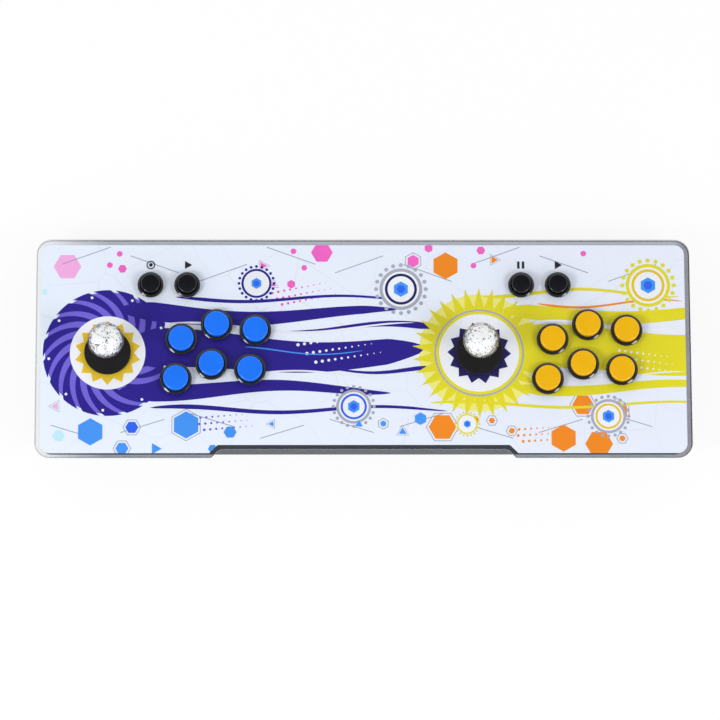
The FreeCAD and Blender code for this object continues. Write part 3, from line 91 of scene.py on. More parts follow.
class Graph:
    """A material's node tree, built one node at a time."""

    def __init__(self, name: str) -> None:
        """Starts an empty material.

        Args:
            name: The material's name.
        """
        self.material = bpy.data.materials.new(name)
        self.material.use_nodes = True
        self.tree = self.material.node_tree
        self.tree.nodes.clear()
        self.output = self.tree.nodes.new("ShaderNodeOutputMaterial")

    def add(self, kind: str, values: Optional[dict] = None, **settings: Any) -> bpy.types.Node:
        """Adds a node, sets its options and fills or links its inputs.

        Args:
            kind: The node's type without the ShaderNode prefix.
            values: Input name or number to a number, a colour or another node's output.
            settings: The node's own options.

        Returns:
            The new node.
        """
        node = self.tree.nodes.new("ShaderNode" + kind)
        for option, choice in settings.items():
            setattr(node, option, choice)
        for key, value in (values or {}).items():
            socket = node.inputs[key]
            if isinstance(value, bpy.types.NodeSocket):
                self.tree.links.new(value, socket)
            elif isinstance(value, tuple) and len(value) == 3 and socket.type == "RGBA":
                socket.default_value = (*value, 1.0)
            else:
                socket.default_value = value
        return node

    def place(self) -> bpy.types.NodeSocket:
        """The object's own coordinates, in metres."""
        return self.add("TexCoord").outputs["Object"]

    def noise(self, scale: float, detail: float = 3.0,
              stretch: Optional[tuple] = None) -> bpy.types.NodeSocket:
        """Noise over the object, from 0 to 1.

        Args:
            scale: Features per metre.
            detail: Octaves of finer noise.
            stretch: Factors along the three axes, for brushed or grained noise.

        Returns:
            The noise factor.
        """
        vector = self.place()
        if stretch:
            vector = self.add("Mapping", {"Vector": vector, "Scale": stretch}).outputs["Vector"]
        node = self.add("TexNoise", {"Vector": vector, "Scale": scale, "Detail": detail})
        return node.outputs["Fac"]

    def between(self, factor: bpy.types.NodeSocket, low: float, high: float) -> bpy.types.NodeSocket:
        """Maps a factor's middle range onto two values.

        Args:
            factor: The factor, such as a noise.
            low: The value at its lower end.
            high: The value at its upper end.

        Returns:
            The mapped value.
        """
        node = self.add("MapRange", {
            "Value": factor, "From Min": 0.3, "From Max": 0.7, "To Min": low, "To Max": high,
        })
        return node.outputs["Result"]

    def blend(self, factor: Any, first: Any, second: Any) -> bpy.types.NodeSocket:
        """Mixes two colours by a factor.

        Args:
            factor: The share of the second colour.
            first: The first colour or socket.
            second: The second colour or socket.

        Returns:
            The mixed colour.
        """
        node = self.add("Mix", data_type="RGBA")
        for socket, value in ((node.inputs[0], factor), (node.inputs[6], first), (node.inputs[7], second)):
            if isinstance(value, bpy.types.NodeSocket):
                self.tree.links.new(value, socket)
            elif isinstance(value, tuple):
                socket.default_value = (*value, 1.0)
            else:
                socket.default_value = value
        return node.outputs[2]

    def bump(self, height: bpy.types.NodeSocket, depth: float,
             strength: float = 1.0) -> bpy.types.NodeSocket:
        """A bumped normal.

        Args:
            height: The height factor.
            depth: The height of the bumps in metres.
            strength: The share of the effect.

        Returns:
            The normal.
        """
        node = self.add("Bump", {"Height": height, "Distance": depth, "Strength": strength})
        return node.outputs["Normal"]

    def finish(self, shader: bpy.types.NodeSocket) -> bpy.types.Material:
        """Joins the shader to the output.

        Args:
            shader: The finished surface.

        Returns:
            The material.
        """
        self.tree.links.new(shader, self.output.inputs["Surface"])
        return self.material


# ---------------------------------------------------------------- finishes


@dataclass(frozen=True)
class Finish:
    """A finish that a piece can be given."""

    name: str
    colour: Colour

    def make(self) -> bpy.types.Material:
        """Builds the material; each kind of finish has its own."""
        raise NotImplementedError


@dataclass(frozen=True)
class GlossPlastic(Finish):
    """Injection-moulded plastic with a polished skin and faint handling marks."""

    roughness: float = 0.14
    coat: float = 0.3

    def make(self) -> bpy.types.Material:
        """A clear colour with slow tone drift, smudges in the gloss and a soft moulded waviness.

        Returns:
            The material.
        """
        graph = Graph(self.name)
        drift = graph.noise(60.0, 2.0)
        deep = tuple(channel * 0.86 for channel in self.colour)
        tone = graph.blend(drift, deep, self.colour)
        smudge = graph.between(graph.noise(180.0, 5.0), self.roughness * 0.8, self.roughness * 1.5)
        normal = graph.bump(graph.noise(90.0, 1.0), 0.00003, 0.5)
        shader = graph.add("BsdfPrincipled", {
            "Base Color": tone, "Roughness": smudge, "Normal": normal,
            "Coat Weight": self.coat, "Coat Roughness": 0.06, "IOR": 1.5,
        })
        return graph.finish(shader.outputs[0])


@dataclass(frozen=True)
class SatinMoulding(Finish):
    """Nylon or ABS with a fine spark-eroded grain."""

    roughness: float = 0.45
    shine: float = 0.5
    grain: float = 2600.0

    def make(self) -> bpy.types.Material:
        """A grained, slightly patchy satin surface.

        Returns:
            The material.
        """
        graph = Graph(self.name)
        patch = graph.noise(45.0, 3.0)
        light = tuple(min(1.0, channel * 1.35 + 0.004) for channel in self.colour)
        tone = graph.blend(patch, self.colour, light)
        gloss = graph.between(graph.noise(300.0, 3.0), self.roughness * 0.85, self.roughness * 1.2)
        normal = graph.bump(graph.noise(self.grain, 2.0), 0.00004, 0.6)
        shader = graph.add("BsdfPrincipled", {
            "Base Color": tone, "Roughness": gloss, "Normal": normal, "Specular IOR Level": self.shine,
        })
        return graph.finish(shader.outputs[0])


@dataclass(frozen=True)
class PowderCoat(Finish):
    """Textured powder coat on sheet steel."""

    def make(self) -> bpy.types.Material:
        """Orange-peel bumps over a dark satin paint, with a little dust in random patches.

        Returns:
            The material.
        """
        graph = Graph(self.name)
        peel = graph.noise(1400.0, 2.0)
        dust = graph.noise(9.0, 5.0)
        dusty = tuple(channel * 1.5 + 0.01 for channel in self.colour)
        tone = graph.blend(dust, self.colour, dusty)
        gloss = graph.between(peel, 0.36, 0.55)
        normal = graph.bump(peel, 0.0001, 0.7)
        shader = graph.add("BsdfPrincipled", {"Base Color": tone, "Roughness": gloss, "Normal": normal})
        return graph.finish(shader.outputs[0])


@dataclass(frozen=True)
class PlatedMetal(Finish):
    """Plated or turned metal with fine tool marks."""

    roughness: float = 0.28
    marks: tuple = (1.0, 1.0, 30.0)

    def make(self) -> bpy.types.Material:
        """Metal with directional marks in its gloss and a little tarnish.

        Returns:
            The material.
        """
        graph = Graph(self.name)
        tarnish = graph.noise(120.0, 4.0)
        dull = tuple(channel * 0.72 for channel in self.colour)
        tone = graph.blend(tarnish, self.colour, dull)
        marks = graph.noise(700.0, 3.0, self.marks)
        gloss = graph.between(marks, self.roughness * 0.7, self.roughness * 1.4)
        normal = graph.bump(marks, 0.00002, 0.5)
        shader = graph.add("BsdfPrincipled", {
            "Base Color": tone, "Metallic": 1.0, "Roughness": gloss, "Normal": normal,
        })
        return graph.finish(shader.outputs[0])


@dataclass(frozen=True)
class Rubber(Finish):
    """Moulded rubber, dull and slightly dusty."""

    def make(self) -> bpy.types.Material:
        """A matt surface with pale scuffs.

        Returns:
            The material.
        """
        graph = Graph(self.name)
        scuff = graph.noise(260.0, 6.0)
        pale = tuple(channel * 2.4 + 0.02 for channel in self.colour)
        tone = graph.blend(graph.between(scuff, 0.0, 0.6), self.colour, pale)
        normal = graph.bump(graph.noise(1800.0, 3.0), 0.00006, 0.7)
        shader = graph.add("BsdfPrincipled", {"Base Color": tone, "Roughness": 0.78, "Normal": normal})
        return graph.finish(shader.outputs[0])


@dataclass(frozen=True)
class ClearSheet(Finish):
    """Clear acrylic: lets light through, tints it faintly and mirrors a little at its skin."""

    mirror: float = 0.014

    def make(self) -> bpy.types.Material:
        """Transparency and gloss mixed by the angle, with fine wipe marks in the gloss.

        Returns:
            The material.
        """
        graph = Graph(self.name)
        wipes = graph.noise(30.0, 6.0, (6.0, 1.0, 1.0))
        gloss = graph.add("BsdfGlossy", {"Roughness": graph.between(wipes, 0.03, 0.09)})
        clear = graph.add("BsdfTransparent", {"Color": self.colour})
        grazing = graph.add("LayerWeight", {"Blend": 0.5}).outputs["Facing"]
        steep = graph.add("Math", {0: grazing, 1: 5.0}, operation="POWER")
        weight = graph.add("MapRange", {"Value": steep.outputs[0], "To Min": self.mirror}).outputs["Result"]
        mixed = graph.add("MixShader", {0: weight, 1: clear.outputs[0], 2: gloss.outputs[0]})
        return graph.finish(mixed.outputs[0])


@dataclass(frozen=True)
class PrintStock(Finish):
    """The film's own white, with painted glare that makes its left end a little paler, and faint lines in
    its ground.
    """

    right: Colour = srgb(233, 238, 252)
    half_length: float = 0.33

    def make(self) -> bpy.types.Material:
        """A left-to-right gradient of painted glare, palest at the left end, with pale lattice lines and a
        soft mottle.

        Returns:
            The material.
        """
        graph = Graph(self.name)
        place = graph.place()
        across = graph.add("SeparateXYZ", {"Vector": place}).outputs["X"]
        # Painted glare: the ground runs from a paler colour at the left end to the right colour.
        shift = graph.add("MapRange", {
            "Value": across, "From Min": -self.half_length, "From Max": self.half_length,
        }).outputs["Result"]
        glare_ground = graph.blend(shift, self.colour, self.right)
        lattice = graph.add("TexVoronoi", {"Vector": place, "Scale": 16.0}, feature="DISTANCE_TO_EDGE")
        line = graph.add("Math", {0: lattice.outputs["Distance"], 1: 0.007}, operation="LESS_THAN")
        faint = tuple(channel * 0.95 for channel in self.right)
        glare_ground = graph.blend(line.outputs[0], glare_ground, faint)
        mottle = graph.between(graph.noise(14.0, 3.0), 0.0, 0.25)
        tone = graph.blend(mottle, glare_ground, tuple(channel * 0.97 for channel in self.right))
        normal = graph.bump(graph.noise(900.0, 2.0), 0.00001, 0.3)
        shader = graph.add("BsdfPrincipled", {"Base Color": tone, "Roughness": 0.4, "Normal": normal})
        return graph.finish(shader.outputs[0])


@dataclass(frozen=True)
class PrinterInk(Finish):
    """One ink of the print, with a slow gradient and the fine dots of the press."""

    shade: float = 0.82

    def make(self) -> bpy.types.Material:
        """The ink's colour drifting between full and a deeper shade.

        Returns:
            The material.
        """
        graph = Graph(self.name)
        drift = graph.between(graph.noise(9.0, 2.0), 0.0, 1.0)
        deep = tuple(channel * self.shade for channel in self.colour)
        dots = graph.noise(2200.0, 1.0)
        tone = graph.blend(drift, deep, self.colour)
        light = tuple(min(1.0, channel * 1.12 + 0.004) for channel in self.colour)
        speck = graph.blend(graph.between(dots, 0.0, 0.6), tone, light)
        normal = graph.bump(dots, 0.000005, 0.3)
        shader = graph.add("BsdfPrincipled", {"Base Color": speck, "Roughness": 0.38, "Normal": normal})
        return graph.finish(shader.outputs[0])


@dataclass(frozen=True)
class SolderMask(Finish):
    """A circuit board's lacquer over copper tracks."""

    track: Colour = (0.03, 0.26, 0.10)

    def make(self) -> bpy.types.Material:
        """Blocky lighter tracks on the lacquer.

        Returns:
            The material.
        """
        graph = Graph(self.name)
        cells = graph.add("TexVoronoi", {"Vector": graph.place(), "Scale": 420.0}, distance="CHEBYCHEV")
        line = graph.add("Math", {0: cells.outputs["Distance"], 1: 0.42}, operation="GREATER_THAN")
        tone = graph.blend(line.outputs[0], self.colour, self.track)
        normal = graph.bump(line.outputs[0], 0.00003, 0.4)
        gloss = graph.between(graph.noise(200.0), 0.22, 0.4)
        shader = graph.add("BsdfPrincipled", {"Base Color": tone, "Roughness": gloss, "Normal": normal})
        return graph.finish(shader.outputs[0])


@dataclass(frozen=True)
class SeededCore(Finish):
    """The milky, bubble-filled heart of a ball top, clearing towards its foot."""

    centre_height: float = 0.1043
    radius: float = 0.0165

    def make(self) -> bpy.types.Material:
        """White resin with dark bubble specks, and patches of painted shade that darken it towards its rim.

        Returns:
            The material.
        """
        graph = Graph(self.name)
        place = graph.place()
        cells = graph.add("TexVoronoi", {"Vector": place, "Scale": 430.0, "Randomness": 1.0})
        grain = graph.add("Math", {0: graph.noise(620.0, 1.0), 1: 0.60}, operation="GREATER_THAN")
        cluster = graph.add("Math", {0: graph.noise(130.0, 2.0), 1: 0.50}, operation="GREATER_THAN")
        speck = graph.add("Math", {0: grain.outputs[0], 1: cluster.outputs[0]}, operation="MULTIPLY")
        tone = graph.blend(speck.outputs[0], self.colour, (0.07, 0.07, 0.08))
        # Painted shade: where the surface turns away from the view, patches darken towards near black,
        # standing in for the dark refraction at the ball's rim.
        edge = graph.add("LayerWeight", {"Blend": 0.42}).outputs["Facing"]
        shade_patches = graph.add("Math", {0: graph.noise(240.0, 2.0), 1: 0.50}, operation="GREATER_THAN")
        rim = graph.add("MapRange", {
            "Value": edge, "From Min": 0.30, "From Max": 0.6, "To Min": 0.0, "To Max": 0.95,
        })
        dark = graph.add("Math", {0: rim.outputs[0], 1: shade_patches.outputs[0]}, operation="MULTIPLY")
        tone = graph.blend(dark.outputs[0], tone, (0.06, 0.05, 0.05))
        normal = graph.bump(cells.outputs["Distance"], 0.0004, 0.8)
        shader = graph.add("BsdfPrincipled", {
            "Base Color": tone, "Roughness": 0.18, "Normal": normal,
            "Coat Weight": 0.6, "Coat Roughness": 0.04,
        })
        height = graph.add("SeparateXYZ", {"Vector": place}).outputs["Z"]
        low = self.centre_height - 0.75 * self.radius
        solid = graph.add("MapRange", {
            "Value": height, "From Min": low, "From Max": low + 0.5 * self.radius,
            "To Min": 0.05, "To Max": 1.0,
        })
        clear = graph.add("BsdfTransparent", {"Color": (0.97, 0.97, 0.99)})
        mixed = graph.add("MixShader", {0: solid.outputs[0], 1: clear.outputs[0], 2: shader.outputs[0]})
        return graph.finish(mixed.outputs[0])


class Ink(Enum):
    """The inks of the print in the order they are laid, with their names and colours."""

    PALE_CYAN = ("pale_cyan", srgb(198, 240, 255))
    PALE_PINK = ("pale_pink", srgb(250, 176, 230))
    LINE_GREY = ("line_grey", srgb(150, 155, 175))
    PINK = ("pink", srgb(240, 100, 195))
    ORANGE = ("orange", srgb(243, 138, 22))
    LILAC = ("lilac", srgb(112, 98, 212))
    LEMON = ("lemon", srgb(240, 236, 130))
    INDIGO = ("indigo", srgb(34, 14, 140))
    YELLOW = ("yellow", srgb(228, 218, 30))
    SILVER = ("silver", srgb(168, 172, 188))
    PAPER = ("paper_white", srgb(240, 243, 252))
    GOLD = ("gold", srgb(232, 196, 36))
    SKY = ("sky_blue", srgb(66, 150, 250))
    ROYAL = ("royal_blue", srgb(40, 100, 243))
    NAVY = ("navy", srgb(24, 18, 92))
    BLACK = ("label_black", srgb(22, 20, 30))

    @property
    def title(self) -> str:
        """The ink's name."""
        return self.value[0]

    @property
    def tone(self) -> Colour:
        """The ink's linear colour."""
        return self.value[1]


# ---------------------------------------------------------------- mesh helpers


def piece_from(shape: bmesh.types.BMesh, name: str, materials: Iterable[bpy.types.Material],
               smooth: bool = False) -> bpy.types.Object:
    """Turns a finished bmesh into an object.

    Args:
        shape: The bmesh, freed afterwards.
        name: The piece's name.
        materials: Its materials in slot order.
        smooth: Whether its faces are shaded smooth.

    Returns:
        The new object, at the origin.
    """
    mesh = bpy.data.meshes.new(name)
    for one in shape.faces:
        one.smooth = smooth
    shape.to_mesh(mesh)
    shape.free()
    for material in materials:
        mesh.materials.append(material)
    piece = bpy.data.objects.new(name, mesh)
    bpy.context.scene.collection.objects.link(piece)
    return piece


def middle_of(node: str) -> Vector:
    """The middle of a CAD node's box."""
    low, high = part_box(node)
    return (low + high) / 2


def stretched_up(middle: Vector, factor: float) -> Matrix:
    """The matrix that makes a shape taller, or flatter, about a point.

    Args:
        middle: The point that stays.
        factor: The factor on its height.

    Returns:
        The matrix.
    """
    stretch = Matrix.Diagonal((1.0, 1.0, factor, 1.0))
    return Matrix.Translation(middle) @ stretch @ Matrix.Translation(-middle)


def applied(piece: bpy.types.Object) -> None:
    """Turns a piece's modifiers into its mesh.

    Args:
        piece: The piece, which keeps no modifier.
    """
    graph = bpy.context.evaluated_depsgraph_get()
    trimmed = bpy.data.meshes.new_from_object(piece.evaluated_get(graph))
    piece.modifiers.clear()
    piece.data = trimmed


# ---------------------------------------------------------------- the print


@dataclass
class InkSheet:
    """All the shapes of one ink, drawn flat and then given a film's thickness."""

    RIBBON_RISE = 0.12

    ink: Ink
    shape: bmesh.types.BMesh = field(default_factory=bmesh.new)

    def _placed(self, vertices: list, at: Vector, turn: float, scale: tuple = (1.0, 1.0)) -> None:
        """Sizes, turns and moves new vertices to their place.

        Args:
            vertices: The vertices.
            at: Their place.
            turn: Their turn in radians.
            scale: Their factors along X and Y.
        """
        matrix = Matrix.Translation((at.x, at.y, 0.0)) @ Matrix.Rotation(turn, 4, "Z")
        matrix = matrix @ Matrix.Diagonal((scale[0], scale[1], 1.0, 1.0))
        bmesh.ops.transform(self.shape, matrix=matrix, verts=vertices)

    def polygon(self, at: Vector, radius: float, sides: int = 6, turn: float = 0.0,
                stretch: float = 1.0) -> None:
        """A filled regular polygon, or an ellipse when it has many sides.

        Args:
            at: Its centre.
            radius: Its corner radius.
            sides: Its sides.
            turn: Its turn in radians.
            stretch: Its width over its height.
        """
        made = bmesh.ops.create_circle(self.shape, cap_ends=True, segments=sides, radius=radius)
        self._placed(made["verts"], at, turn, (stretch, 1.0))

    def ring(self, at: Vector, outer: float, inner: float, sides: int = 6, turn: float = 0.0) -> None:
        """A polygon's outline of even width.

        Args:
            at: Its centre.
            outer: Its outer corner radius.
            inner: Its inner corner radius.
            sides: Its sides.
            turn: Its turn in radians.
        """
        first = bmesh.ops.create_circle(self.shape, segments=sides, radius=outer)["verts"]
        second = bmesh.ops.create_circle(self.shape, segments=sides, radius=inner)["verts"]
        edges = list({edge for vertex in first + second for edge in vertex.link_edges})
        bmesh.ops.bridge_loops(self.shape, edges=edges)
        self._placed(first + second, at, turn)

    def star(self, at: Vector, outer: float, inner: float, points: int, turn: float = 0.0) -> None:
        """A star with straight-sided points.

        Args:
            at: Its centre.
            outer: The radius of its tips.
            inner: The radius between its tips.
            points: How many tips it has.
            turn: Its turn in radians.
        """
        made = bmesh.ops.create_circle(self.shape, cap_ends=True, segments=2 * points, radius=outer)
        for vertex in made["verts"][1::2]:
            vertex.co *= inner / outer
        self._placed(made["verts"], at, turn)

    def bar(self, at: Vector, length: float, width: float, turn: float = 0.0,
            lean: float = 0.0) -> None:
        """A straight bar with leaning ends.

        Args:
            at: Its middle.
            length: Its length.
            width: Its width.
            turn: Its turn in radians.
            lean: The lean of its ends, in widths.
        """
        made = bmesh.ops.create_grid(self.shape, x_segments=1, y_segments=1, size=0.5)["verts"]
        for vertex in made:
            vertex.co.x = vertex.co.x * length + lean * vertex.co.y * width
            vertex.co.y *= width
        self._placed(made, at, turn)

    def ribbon(self, start: Vector, length: float, width: float, sway: float, waves: float,
               taper: float = 0.0, phase: float = 0.0) -> None:
        """A wavy ribbon that runs to the right.

        Args:
            start: Its left end.
            length: Its length along X, to the left if negative.
            width: Its widest width.
            sway: The height of its waves.
            waves: How many waves it has.
            taper: The share of its width lost towards its end.
            phase: Where its first wave starts, in turns.
        """
        made = bmesh.ops.create_grid(self.shape, x_segments=56, y_segments=1, size=0.5)["verts"]
        for vertex in made:
            along = vertex.co.x + 0.5
            swing = sway * math.sin(2 * math.pi * (waves * along + phase))
            point = min(1.0, along / self.RIBBON_RISE, (1.0 - along) / self.RIBBON_RISE)
            breadth = width * (1.0 - taper * along) * math.sqrt(max(point, 0.0))
            side = vertex.co.y
            vertex.co = Vector((start.x + length * along, start.y + swing + breadth * side, 0.0))

    def blade(self, at: Vector, inner: float, outer: float, turn: float, spread: float,
              twist: float) -> None:
        """A curved fan blade.

        Args:
            at: The fan's centre.
            inner: The blade's inner radius.
            outer: Its outer radius.
            turn: Where it starts, in radians.
            spread: Its angular width.
            twist: How far it curls on its way out.
        """
        made = bmesh.ops.create_grid(self.shape, x_segments=14, y_segments=4, size=0.5)["verts"]
        for vertex in made:
            along = vertex.co.x + 0.5
            radius = inner + (outer - inner) * along
            angle = turn + twist * along + spread * vertex.co.y * (0.45 + 0.55 * along)
            vertex.co = Vector((at.x + radius * math.cos(angle), at.y + radius * math.sin(angle), 0.0))

    def dots(self, start: Vector, step: Vector, count: int, first: float, last: float) -> None:
        """A row of dots that grow or shrink.

        Args:
            start: The first dot's middle.
            step: The way from dot to dot.
            count: How many dots.
            first: The first dot's radius.
            last: The last dot's radius.
        """
        for number in range(count):
            share = number / max(1, count - 1)
            self.polygon(start + step * number, first + (last - first) * share, sides=16)

    def pressed(self, height: float, cutter: bpy.types.Object) -> Optional[bpy.types.Object]:
        """Gives the shapes a thickness and trims them to the film.

        Args:
            height: The sheet's own height.
            cutter: The film's outline with its holes, as a solid.

        Returns:
            The finished piece, or None if the ink has no shapes.
        """
        if not self.shape.faces:
            return None
        bmesh.ops.recalc_face_normals(self.shape, faces=self.shape.faces)
        body = bmesh.ops.extrude_face_region(self.shape, geom=self.shape.faces[:])
        tops = [item for item in body["geom"] if isinstance(item, bmesh.types.BMVert)]
        bmesh.ops.translate(self.shape, verts=tops, vec=(0.0, 0.0, PanelPrint.INK_THICKNESS))
        bmesh.ops.translate(self.shape, verts=self.shape.verts[:], vec=(0.0, 0.0, height))
        bmesh.ops.recalc_face_normals(self.shape, faces=self.shape.faces)
        material = PrinterInk(f"ink_{self.ink.title}", self.ink.tone).make()
        piece = piece_from(self.shape, f"print_{self.ink.title}", [material])
        trim = piece.modifiers.new("trim_to_film", "BOOLEAN")
        trim.operation = "INTERSECT"
        trim.solver = "EXACT"
        trim.use_self = True
        trim.object = cutter
        applied(piece)
        return piece


@dataclass
class PanelPrint:
    """The printed film: a pale ground with a fan, a burst, medallions and ribbons in several inks."""

    INK_THICKNESS = 0.008 * MM

    layer_step: float = 0.015 * MM
    fan_radius: float = 64 * MM
    medal_radius: float = 38 * MM
    star_radius: float = 33.5 * MM
    blades: int = 18
    halo_dots: int = 20
    sheets: dict = field(default_factory=dict)

    def ink(self, ink: Ink) -> InkSheet:
        """The sheet of one ink, started on first use."""
        if ink not in self.sheets:
            self.sheets[ink] = InkSheet(ink)
        return self.sheets[ink]

    def at(self, x: float, y: float) -> Vector:
        """A point on the panel, from its middle, in millimetres."""
        return Vector((x * MM, y * MM, 0.0))

    def around(self, angle: float, radius: float) -> Vector:
        """The way to a point on a circle, by its angle in radians and its radius."""
        return Vector((math.cos(angle), math.sin(angle), 0.0)) * radius

    def stick(self, side: Side) -> Vector:
        """The middle of a player's stick."""
        spot = middle_of(f"{side.value}_dust_washer")
        return Vector((spot.x, spot.y, 0.0))

    def draw_fan(self) -> None:
        """The indigo fan round the left stick, with a gold star under the washer."""
        centre = self.stick(Side.LEFT)
        self.ink(Ink.LILAC).polygon(centre, self.fan_radius * 0.985, sides=96)
        for number in range(self.blades):
            turn = 2 * math.pi * number / self.blades
            self.ink(Ink.INDIGO).blade(centre, self.medal_radius, self.fan_radius * 1.02, turn, 0.27, 0.62)
            tip = centre + self.around(turn + 0.8, self.fan_radius * 0.93)
            if number % 2:
                self.ink(Ink.PAPER).polygon(tip, 1.7 * MM, sides=4, turn=turn)
        self.ink(Ink.PAPER).polygon(centre, self.medal_radius, sides=96)
        self.ink(Ink.GOLD).star(centre, self.star_radius, self.star_radius * 0.8, 14)

    def draw_burst(self) -> None:
        """The yellow burst round the right stick, with an indigo star under the washer."""
        centre = self.stick(Side.RIGHT)
        self.ink(Ink.LEMON).polygon(centre, self.fan_radius * 0.95, sides=96)
        self.ink(Ink.YELLOW).star(centre, self.fan_radius * 1.06, self.fan_radius * 0.74, 30)
        self.ink(Ink.SILVER).ring(centre, self.medal_radius * 1.19, self.medal_radius * 1.14, sides=96)
        self.ink(Ink.PAPER).polygon(centre, self.medal_radius * 1.06, sides=96)
        self.ink(Ink.NAVY).star(centre, self.star_radius * 0.96, self.star_radius * 0.78, 14, turn=0.2)

    def draw_ribbons(self) -> None:
        """Wavy ribbons that stream to the right of each stick, behind the buttons."""
        indigo = self.ink(Ink.INDIGO)
        indigo.ribbon(self.at(-246, -4), 308 * MM, 44 * MM, 5 * MM, 1.1, 0.45, 0.06)
        indigo.ribbon(self.at(-246, 36), 280 * MM, 22 * MM, 5 * MM, 1.0, 0.7, 0.30)
        indigo.ribbon(self.at(-246, -42), 274 * MM, 20 * MM, 4 * MM, 1.2, 0.75, 0.55)
        indigo.ribbon(self.at(-215, -63), 300 * MM, 5 * MM, 3 * MM, 1.5, 0.5, 0.1)
        indigo.ribbon(self.at(-190, 52), 236 * MM, 4 * MM, 3 * MM, 1.2, 0.5, 0.4)
        indigo.ribbon(self.at(74, 22), -150 * MM, 8 * MM, 4 * MM, 0.8, 0.8, 0.0)
        indigo.ribbon(self.at(70, -22), -120 * MM, 5 * MM, 3 * MM, 0.9, 0.8, 0.3)
        paper = self.ink(Ink.PAPER)
        paper.ribbon(self.at(-198, 22), 250 * MM, 2.4 * MM, 5 * MM, 1.1, 0.3, 0.16)
        paper.ribbon(self.at(-198, -27), 240 * MM, 2.0 * MM, 4 * MM, 1.2, 0.3, 0.6)
        self.ink(Ink.SKY).ribbon(self.at(-120, -2), 120 * MM, 1.6 * MM, 4 * MM, 0.7, 0.4, 0.3)
        yellow = self.ink(Ink.YELLOW)
        yellow.ribbon(self.at(140, -2), 230 * MM, 46 * MM, 5 * MM, 0.9, 0.1, 0.05)
        yellow.ribbon(self.at(140, 36), 230 * MM, 16 * MM, 4 * MM, 0.9, 0.3, 0.3)
        yellow.ribbon(self.at(150, -40), 220 * MM, 12 * MM, 4 * MM, 1.0, 0.5, 0.5)
        yellow.ribbon(self.at(66, -58), 300 * MM, 3.4 * MM, 3 * MM, 1.4, 0.4, 0.1)
        yellow.ribbon(self.at(120, 58), 200 * MM, 4 * MM, 4 * MM, 1.1, 0.5, 0.7)
        paper.ribbon(self.at(170, 24), 155 * MM, 2.4 * MM, 5 * MM, 0.9, 0.3, 0.12)
        paper.ribbon(self.at(170, -28), 155 * MM, 1.8 * MM, 4 * MM, 0.9, 0.3, 0.4)
        self.ink(Ink.ORANGE).ribbon(self.at(175, 47), 148 * MM, 2.6 * MM, 4 * MM, 0.9, 0.4, 0.5)
        self.draw_dot_rows()

    def draw_dot_rows(self) -> None:
        """Rows of dots that fade out to the right, three to a patch."""
        small = 0.5 * MM
        for row in range(3):
            start = self.at(-92 + 5 * row, 58 - 6 * row)
            self.ink(Ink.PINK).dots(start, self.at(6.0, 1.2), 10, 1.5 * MM, small)
            start = self.at(150 + 5 * row, -84 - 6 * row)
            self.ink(Ink.ORANGE).dots(start, self.at(6.0, 0.4), 8, 1.5 * MM, small)
            start = self.at(-170 + 5 * row, -72 - 6 * row)
            self.ink(Ink.LILAC).dots(start, self.at(6.0, 0.5), 9, 1.4 * MM, small)
            start = self.at(-66 + 9 * row, 4 - 9 * row)
            self.ink(Ink.PAPER).dots(start, self.at(6.5, 1.0), 11, 1.7 * MM, small)
            start = self.at(258 + 5 * row, -2 - 8 * row)
            self.ink(Ink.PAPER).dots(start, self.at(6.0, -0.8), 9, 1.5 * MM, small)

    def draw_halo(self, at: Vector, radius: float, outer: Ink, band: Ink) -> None:
        """A medallion: a ring of dots, a band, a white field and a small two-tone core.

        Args:
            at: Its middle.
            radius: Its outer radius.
            outer: The ink of its dots.
            band: The ink of its band.
        """
        for number in range(self.halo_dots):
            spot = at + self.around(2 * math.pi * number / self.halo_dots, radius * 0.93)
            self.ink(outer).polygon(spot, radius * 0.075, sides=16)
        self.ink(outer).polygon(at, radius * 0.8, sides=64)
        self.ink(Ink.PAPER).polygon(at, radius * 0.68, sides=64)
        self.ink(band).ring(at, radius * 0.6, radius * 0.5, sides=64)
        self.ink(Ink.SKY).polygon(at, radius * 0.3, sides=6)
        self.ink(Ink.ROYAL).polygon(at, radius * 0.17, sides=6, turn=math.pi / 6)

    def draw_halos(self) -> None:
        """The medallions over the ribbons."""
        self.draw_halo(self.at(38, 62), 27 * MM, Ink.SILVER, Ink.NAVY)
        self.draw_halo(self.at(-10, -60), 22 * MM, Ink.SILVER, Ink.ROYAL)
        self.draw_halo(self.at(-108, 68), 19 * MM, Ink.INDIGO, Ink.LILAC)
        self.draw_halo(self.at(288, 66), 28 * MM, Ink.YELLOW, Ink.GOLD)
        self.draw_halo(self.at(246, -70), 22 * MM, Ink.SILVER, Ink.GOLD)
        self.draw_halo(self.at(104, -78), 13 * MM, Ink.YELLOW, Ink.SILVER)

    def scatter(self, inks: tuple, low: Vector, high: Vector, count: int, seed: int) -> None:
        """Strews hexagons and triangles of several sizes over a stretch of the film.

        Args:
            inks: The inks to pick from.
            low: The stretch's lower left corner.
            high: Its upper right corner.
            count: How many shapes.
            seed: The seed of the pattern.
        """
        dice = random.Random(seed)
        spots: list = []
        for _ in range(count * 30):
            if len(spots) == count:
                break
            radius = dice.choice((3.2, 4.5, 6.5, 11.0, 14.0)) * MM
            spot = Vector((dice.uniform(low.x, high.x), dice.uniform(low.y, high.y), 0.0))
            if any((spot - other).length < radius + reach + 5 * MM for other, reach in spots):
                continue
            spots.append((spot, radius))
            sheet = self.ink(dice.choice(inks))
            sides = dice.choice((3, 6, 6))
            turn = dice.choice((0.0, math.pi / 6, math.pi / 2))
            sheet.polygon(spot, radius, sides, turn)
            if dice.random() < 0.5:
                self.ink(Ink.LINE_GREY).ring(spot, radius + 2.8 * MM, radius + 2.0 * MM, sides, turn)

